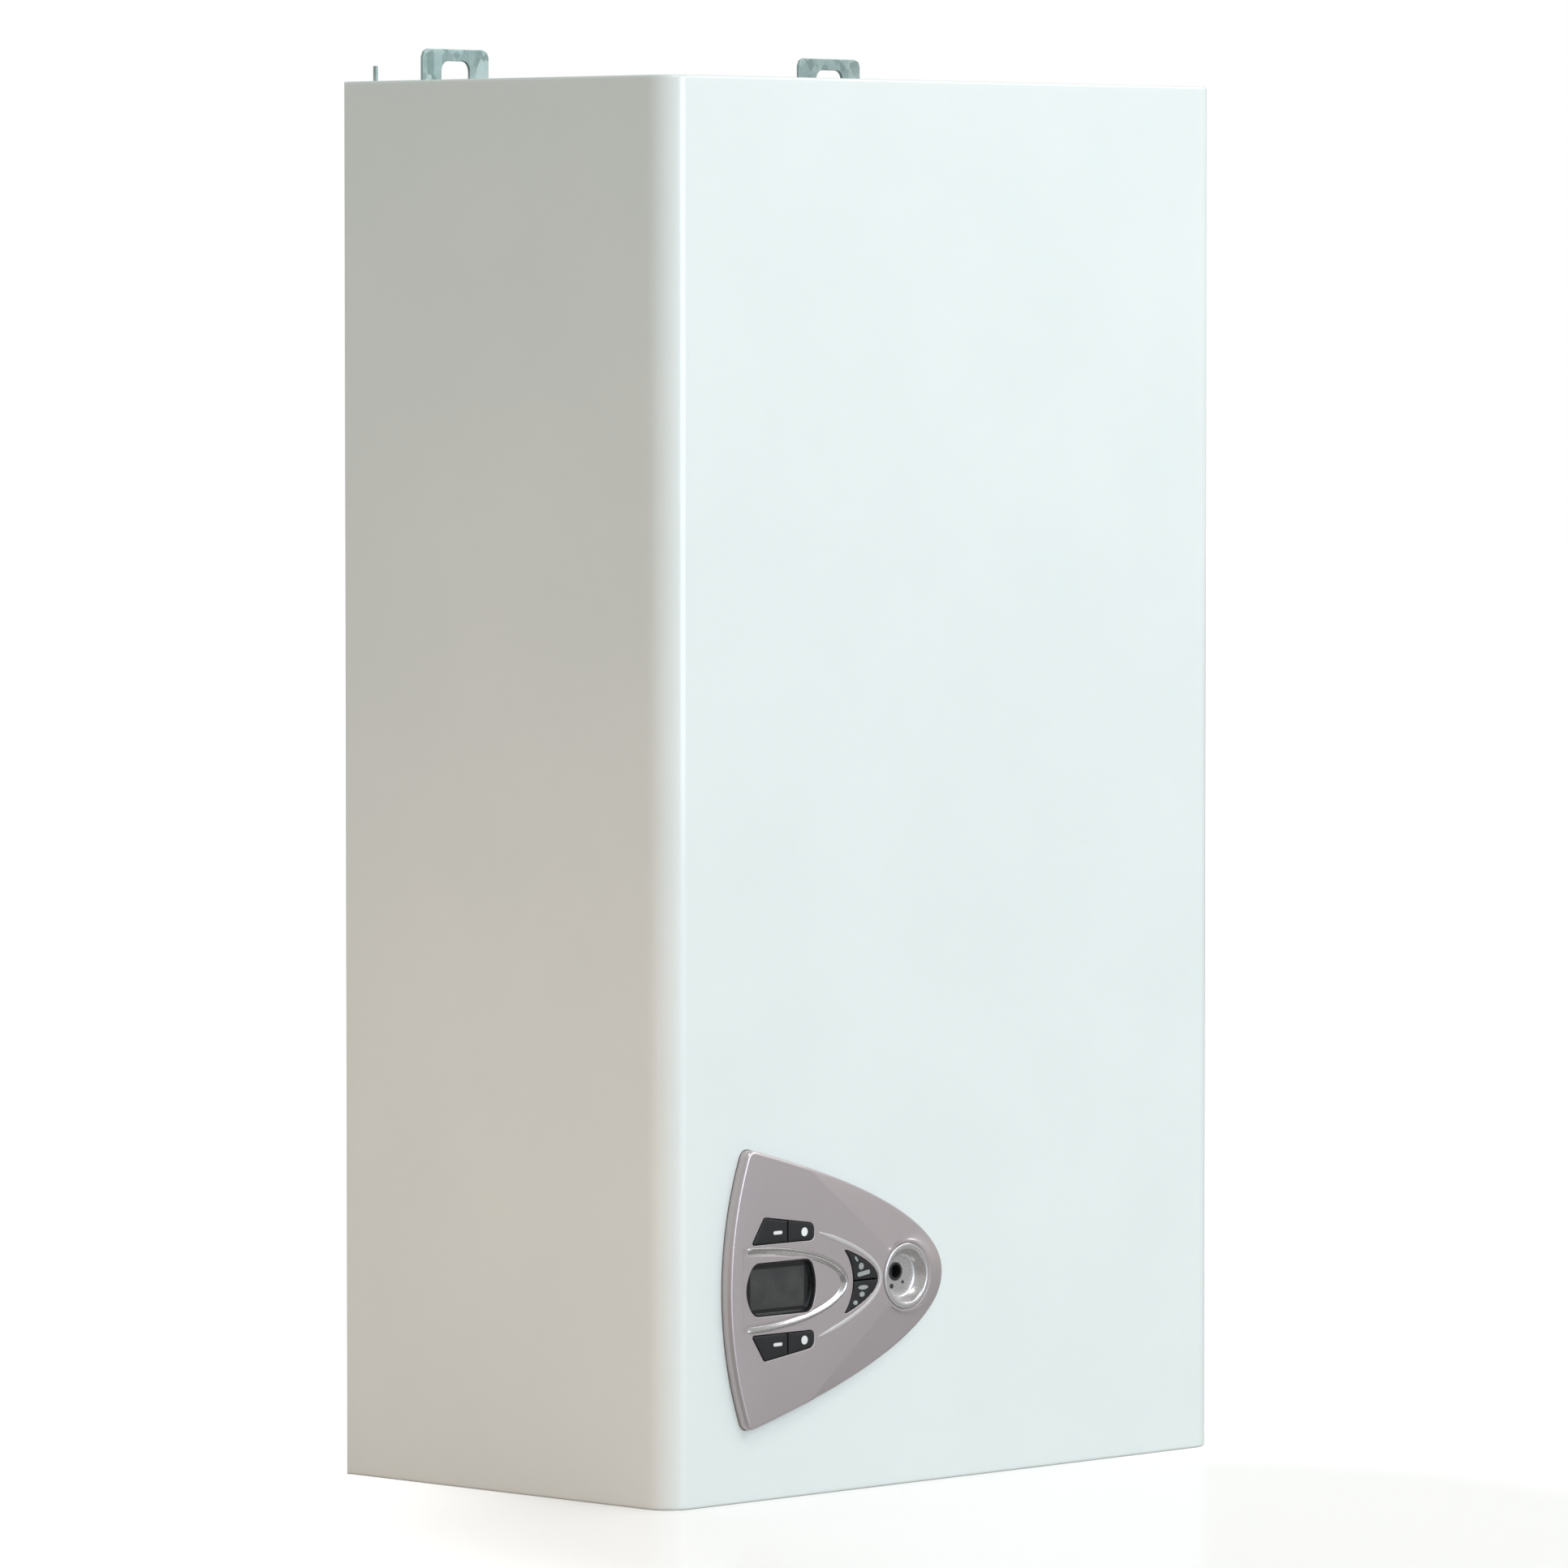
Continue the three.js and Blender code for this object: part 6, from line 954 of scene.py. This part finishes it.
def bar(u, v, length, width, angle=0.0):
    """A bar with round ends."""
    box = np.array([[-1, -1], [1, -1], [1, 1], [-1, 1]]) * [length / 2, width / 2]
    loop = rounded(box, width * 0.48)
    turn = math.radians(angle)
    spin = np.array([[math.cos(turn), math.sin(turn)], [-math.sin(turn), math.cos(turn)]])
    return loop @ spin + [u, v]


def oval(u, v, wide, high, steps=28):
    return circle(1, 0, 0, steps) * [wide / 2, high / 2] + [u, v]


minus_key = rounded(
    [[-139.6, 22.5], [-114.9, 22.5], [-114.9, 33.04], [-131, 35.3]], [0.8, 0.6, 0.6, 2.0]
)
plus_key = rounded(
    [[-114.3, 22.5], [-96.2, 22.5], [-96.2, 30.5], [-114.3, 33.04]], [0.6, 2.4, 3.4, 0.6]
)
# A white bar on the minus keys and a white round dot on the plus keys.
minus_mark, plus_mark = bar(-122, 27.6, 6.2, 1.7), oval(-103.2, 26.8, 4.4, 4.4)
mode_marks = [bar(-61.0, 3.4, 9.0, 2.2, 8), oval(-62.8, 7.0, 3.6, 3.4)]
mode_marks += [bar(-66.2, 10.8, 3.2, 1.2, -50)]
reset_marks = [oval(-61.4, -3.6, 7.0, 2.2), oval(-62.2, -7.0, 3.6, 2.6), oval(-66.9, -10.9, 3.2, 2.2)]
keys = {
    "key_water_minus": (lambda inwards: offset(minus_key, inwards), [minus_mark]),
    "key_water_plus": (lambda inwards: offset(plus_key, inwards), [plus_mark]),
    "key_heating_minus": (lambda inwards: down(offset(minus_key, inwards)), [down(minus_mark)]),
    "key_heating_plus": (lambda inwards: down(offset(plus_key, inwards)), [down(plus_mark)]),
    "key_mode": (crescent_half, mode_marks),
    "key_reset": (lambda inwards: down(crescent_half(inwards)), reset_marks),
}
for name, (inset, marks) in keys.items():
    piece(name + "_cap", cap(inset), "dark_key", name, [name])
    mark_finish = "soft_print" if name in ("key_mode", "key_reset") else "white_key_mark"
    piece(name + "_mark", mark(marks), "white_plastic", name, finish=mark_finish)
print("keys:", len(keys))

# %% [markdown]
# ## The bowl
#
# At the nose a bright ring surrounds a shallow bowl with a service socket in its floor. It is
# turned like a dish: a profile goes round the axis. The floor isn't round about that axis, for
# the socket sits beside it, so the floor is ruled from its rim to the socket's circle.

# %% Turn the bowl
turns = np.linspace(0, 2 * math.pi, 97)
SOCKET_U, SOCKET_V, SOCKET_R, FLOOR, UNDER = BOWL_U - 3.3, 2.0, 4.3, -0.62, 0.6
dish = np.array(
    [[16.45, -3.5], [16.45, -5.1], [16.35, -5.5], [16.05, -5.78], [15.55, -5.93], [15.0, -5.98],
     [14.4, -5.94], [13.9, -5.8], [13.5, -5.5], [13.25, -5.1], [13.0, -4.6], [12.5, -3.7],
     [11.8, -2.6], [11.0, -1.6], [10.2, -1.0], [9.3, -0.7], [8.6, FLOOR]]
)
under = np.array([[9.2, UNDER], [11.0, 0.0], [13.4, -1.4], [15.4, -3.3], [16.45, -3.5]])


def turned_about(profile, u, v):
    """Each (radius, depth) of a profile taken round an axis that comes out of the panel."""
    profile = np.asarray(profile, float)
    return on_panel(polar(profile[:, :1], turns, u, v), profile[:, 1:])


socket = turned_about([[SOCKET_R, FLOOR], [SOCKET_R, UNDER]], SOCKET_U, SOCKET_V)
rim_ring = turned_about(dish, BOWL_U, 0)
share = np.linspace(0, 1, 5)[:, None, None]
bowl = Skin()
bowl.grid(rim_ring)
bowl.grid(rim_ring[-1] * (1 - share) + socket[0] * share)
bowl.grid(socket)
bowl.grid(socket[1] * (1 - share) + turned_about(under[:1], BOWL_U, 0)[0] * share)
bowl.grid(turned_about(under, BOWL_U, 0))
turned = piece("bowl_dish", bowl, "bright_chrome", "boiler", ["socket_bowl"], "bowl_lacquer")
print("bowl faces:", len(turned.data.polygons))

# %% [markdown]
# The socket is lined with a black plastic sleeve, whose collar stands a little over the bowl's
# floor. Beside it sit two small dark lamps, domes that are almost flat.

# %% Liner and lamps
collar = [[4.62, 0.62], [4.62, -0.9], [4.45, -1.12], [4.1, -1.18], [3.7, -1.16], [3.45, -1.0]]
bore = [[3.4, -0.6], [3.4, 4.0], [1.2, 4.2], [0.01, 4.2]]
liner = Skin()
liner.grid(turned_about(collar + bore, SOCKET_U, SOCKET_V))
liner.grid(turned_about([[0.01, 4.6], [3.55, 4.6], [3.55, 0.62], [4.62, 0.62]], SOCKET_U, SOCKET_V))
piece("socket_liner", liner, "black_plastic", "boiler")
lamp = Skin()
for u, v, r in ((-35.6, -5.2, 1.25), (-27.6, -3.6, 0.8)):
    dome = [[r, -0.5], [r, -0.75], [r * 0.8, -0.95], [r * 0.4, -1.02], [0.01, -1.03]]
    lamp.grid(turned_about(dome, u, v))
    lamp.grid(turned_about([[0.01, -0.5], [r, -0.5]], u, v))
piece("bowl_lamps", lamp, "black_plastic", "boiler")
print("liner and lamps made")

# %% [markdown]
# ## Inside
#
# Behind the casing are sheet metal, castings, pipes and mouldings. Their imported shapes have
# edges as sharp as a knife and round parts made of flats. No real edge is like that: sheet is
# deburred, castings have radii, plastic has to leave its tool. Each inner part gets a copy with
# its flat areas joined again, its round parts shaded round, and a small rounding on each edge
# that turns by more than 40 degrees, so that every edge can catch a line of light.


# %% Ease the edges of the inner parts
EDGE_OF_SLOT = {"cast_alloy": 0.8, "cast_iron": 0.8, "brass": 0.5, "black_rubber": 0.6,
                "black_plastic": 0.7, "grey_plastic": 0.7, "white_plastic": 0.7,
                "red_plastic": 0.6, "blue_plastic": 0.6}
SHEET_EDGE = 0.35
SHARP = math.radians(40)
shown = {"casing", "control_panel", "display_trim", "display_window", "socket_bowl", *keys}


def eased(name, node):
    """A copy with joined flats, smooth rounds and eased edges; it stands for its node."""
    work = bmesh.new()
    work.from_mesh(node.data)
    work.transform(node.matrix_world)
    bmesh.ops.remove_doubles(work, verts=work.verts, dist=2e-6)
    bmesh.ops.dissolve_limit(work, angle_limit=math.radians(0.6), verts=work.verts, edges=work.edges)
    for face in work.faces:
        face.smooth = True
    for edge in work.edges:
        edge.smooth = len(edge.link_faces) == 2 and edge.calc_face_angle(0) < SHARP
    data = bpy.data.meshes.new(name + "_eased")
    work.to_mesh(data)
    work.free()
    slot = slot_of[name]
    made = piece(name + "_eased", data, slot, node["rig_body"], [name])
    width = EDGE_OF_SLOT.get(slot, SHEET_EDGE) * MM
    modifier(made, "BEVEL", width=width, angle_limit=SHARP, use_clamp_overlap=True, **edges)
    return made


inner = [eased(name, node) for name, node in frame["nodes"].items() if name not in shown]
print("inner parts eased:", len(inner), "faces:", sum(len(made.data.polygons) for made in inner))

# %% [markdown]
# The chamber's cover is held by pan-head screws along its rim. A ray finds the metal under each
# of them, so that a head sits on the sheet also where a bead is pressed into it.

# %% Screws of the chamber's cover
HEAD = [[0.01, -1.0], [1.3, -1.0], [1.5, -1.8], [1.9, -2.0], [3.0, -1.8], [3.8, -1.1], [4.1, -0.3],
        [4.1, 0.3], [0.01, 0.3]]
FROM_RIM = 8
sheet = next(made for made in inner if made.name.startswith("chamber_cover")).data
corners = [vertex.co for vertex in sheet.vertices]
cover = BVHTree.FromPolygons(corners, [face.vertices for face in sheet.polygons])
low, high = (np.array(corner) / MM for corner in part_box("chamber_cover"))
columns = np.linspace(low[0] + FROM_RIM, high[0] - FROM_RIM, 4)
rows = np.linspace(low[2] + FROM_RIM, high[2] - FROM_RIM, 5)
spots = [(x, z) for x in columns for z in rows if x in columns[[0, -1]] or z in rows[[0, -1]]]
screws = Skin()
for x, z in spots:
    seat = cover.ray_cast(Vector((x * MM, -0.2, z * MM)), Vector((0, 1, 0)))[0]
    profile = np.array(HEAD) + [0, seat.y / MM - CASE_FRONT]
    screws.grid(turned_about(profile, x - PANEL_X, z - PANEL_Z))
piece("cover_screws", screws, "bare_steel", "boiler")
print("cover screws:", len(spots))

# %% [markdown]
# ## Floor
#
# The boiler stands on white. A white floor under soft lamps renders a little grey, so it glows
# for the camera alone: weakly under the boiler, which keeps the shadow, and more with the
# distance. A blurred mirror of about a sixth gives the boiler's faint image. To mirroring
# surfaces the floor is darker, like the ground in front of a studio's white paper, so that the
# silver panel gets lighter and darker slopes.

# %% Floor
paper = Finish("white_floor", Roughness=0.9)
mirror = paper.node("ShaderNodeBsdfAnisotropic", {}, {"Color": (1, 1, 1, 1), "Roughness": 0.16})
away = ((paper.axis("X") + 0.1) ** 2 + (paper.axis("Y") + 0.3) ** 2) ** 0.5
lit, unlit = (0.62, 0.6, 0.575, 1), (0.26, 0.25, 0.24, 1)
glow = paper.ray("Camera") * (away.between(0.24, 0.46) * 0.5 + 0.42)
tone = paper.blend(paper.ray("Glossy"), lit, unlit)
paper.wear(Base_Color=tone, Emission_Strength=glow)
paper.shader.inputs["Emission Color"].default_value = (0.98, 0.99, 1, 1)
plain = Wire(paper, paper.shader.outputs[0])
mixed = paper.node("ShaderNodeMixShader", {}, {0: 0.18, 1: plain, 2: mirror})
surface = paper.tree.nodes["Material Output"].inputs["Surface"]
paper.tree.links.new(mixed.socket, surface)
floor_mesh = bpy.data.meshes.new("floor")
floor_mesh.from_pydata([(-15, -15, 0), (15, -15, 0), (15, 15, 0), (-15, 15, 0)], [], [(0, 1, 2, 3)])
floor_mesh.materials.append(paper.material)
put("floor", floor_mesh)
print("floor laid")

# %% [markdown]
# ## The white room
#
# The room's colour runs from warm near the ground to cool above. It lights the boiler with half
# the strength that the camera sees, or white paint would be lost in it. Past the floor and
# through the sight glass the camera sees plain white.

# %% Room
world = bpy.data.worlds.new("white_room")
world.use_nodes = True
bpy.context.scene.world = world
room = Nodes(world.node_tree)
straight = room.ray("Camera").larger(room.ray("Transmission"))
strength = straight * 0.5 + 0.5 + room.ray("Glossy") * 0.14
where = room.node("ShaderNodeTexCoord", out="Generated")
height = room.node("ShaderNodeSeparateXYZ", {}, {0: where}, out="Z")
lift = room.node("ShaderNodeMapRange", {}, {"Value": height, "From Min": -0.4, "From Max": 0.5})
tint = room.blend(lift, (1.0, 0.9, 0.84, 1), (0.94, 1.0, 0.99, 1))
colour = room.blend(straight, tint, (1, 1, 1, 1))
background = world.node_tree.nodes["Background"]
world.node_tree.links.new(colour.socket, background.inputs["Color"])
world.node_tree.links.new(strength.socket, background.inputs["Strength"])
print("room nodes:", len(world.node_tree.nodes))

# %% [markdown]
# ## Lamps
#
# Five soft boxes. The front one is cool and lights the white front; the high one runs along the
# panel's trim as a bright line; the right and the top one draw the edges. A small warm one stands
# low at the left, where the photograph turns warmer towards the ground; the camera and mirroring
# surfaces don't see it.


# %% Lamps
def soft_lamp(name, place, aim, wide, high, watts, colour=(1, 1, 1)):
    """A rectangular soft box at one place that looks at another."""
    data = bpy.data.lights.new(name, "AREA")
    data.shape = "RECTANGLE"
    data.size, data.size_y = wide, high
    data.energy = watts
    data.color = colour
    made = put(name, data)
    stand(made, place, aim)
    return made


soft_lamp("front_box", (0.6, -4.3, 1.0), (0, 0, 0.35), 1.6, 1.8, 46, (0.86, 1.0, 1.18))
soft_lamp("high_box", (1.3, -2.15, 2.15), (-0.05, -0.1, 0.15), 2.4, 0.6, 22, (0.97, 1.0, 1.03))
soft_lamp("right_strip", (2.4, -0.3, 2.3), (-0.05, -0.1, 0.15), 1.6, 0.6, 15)
soft_lamp("top_box", (-0.45, -1.7, 2.9), (-0.05, -0.1, 0.15), 1.1, 0.7, 17)
low_left = soft_lamp("low_left_box", (-0.78, -0.02, 0.12), (-0.2, 0, 0.08), 0.5, 0.2, 0.8, (1.0, 0.62, 0.48))
low_left.visible_camera = low_left.visible_glossy = False
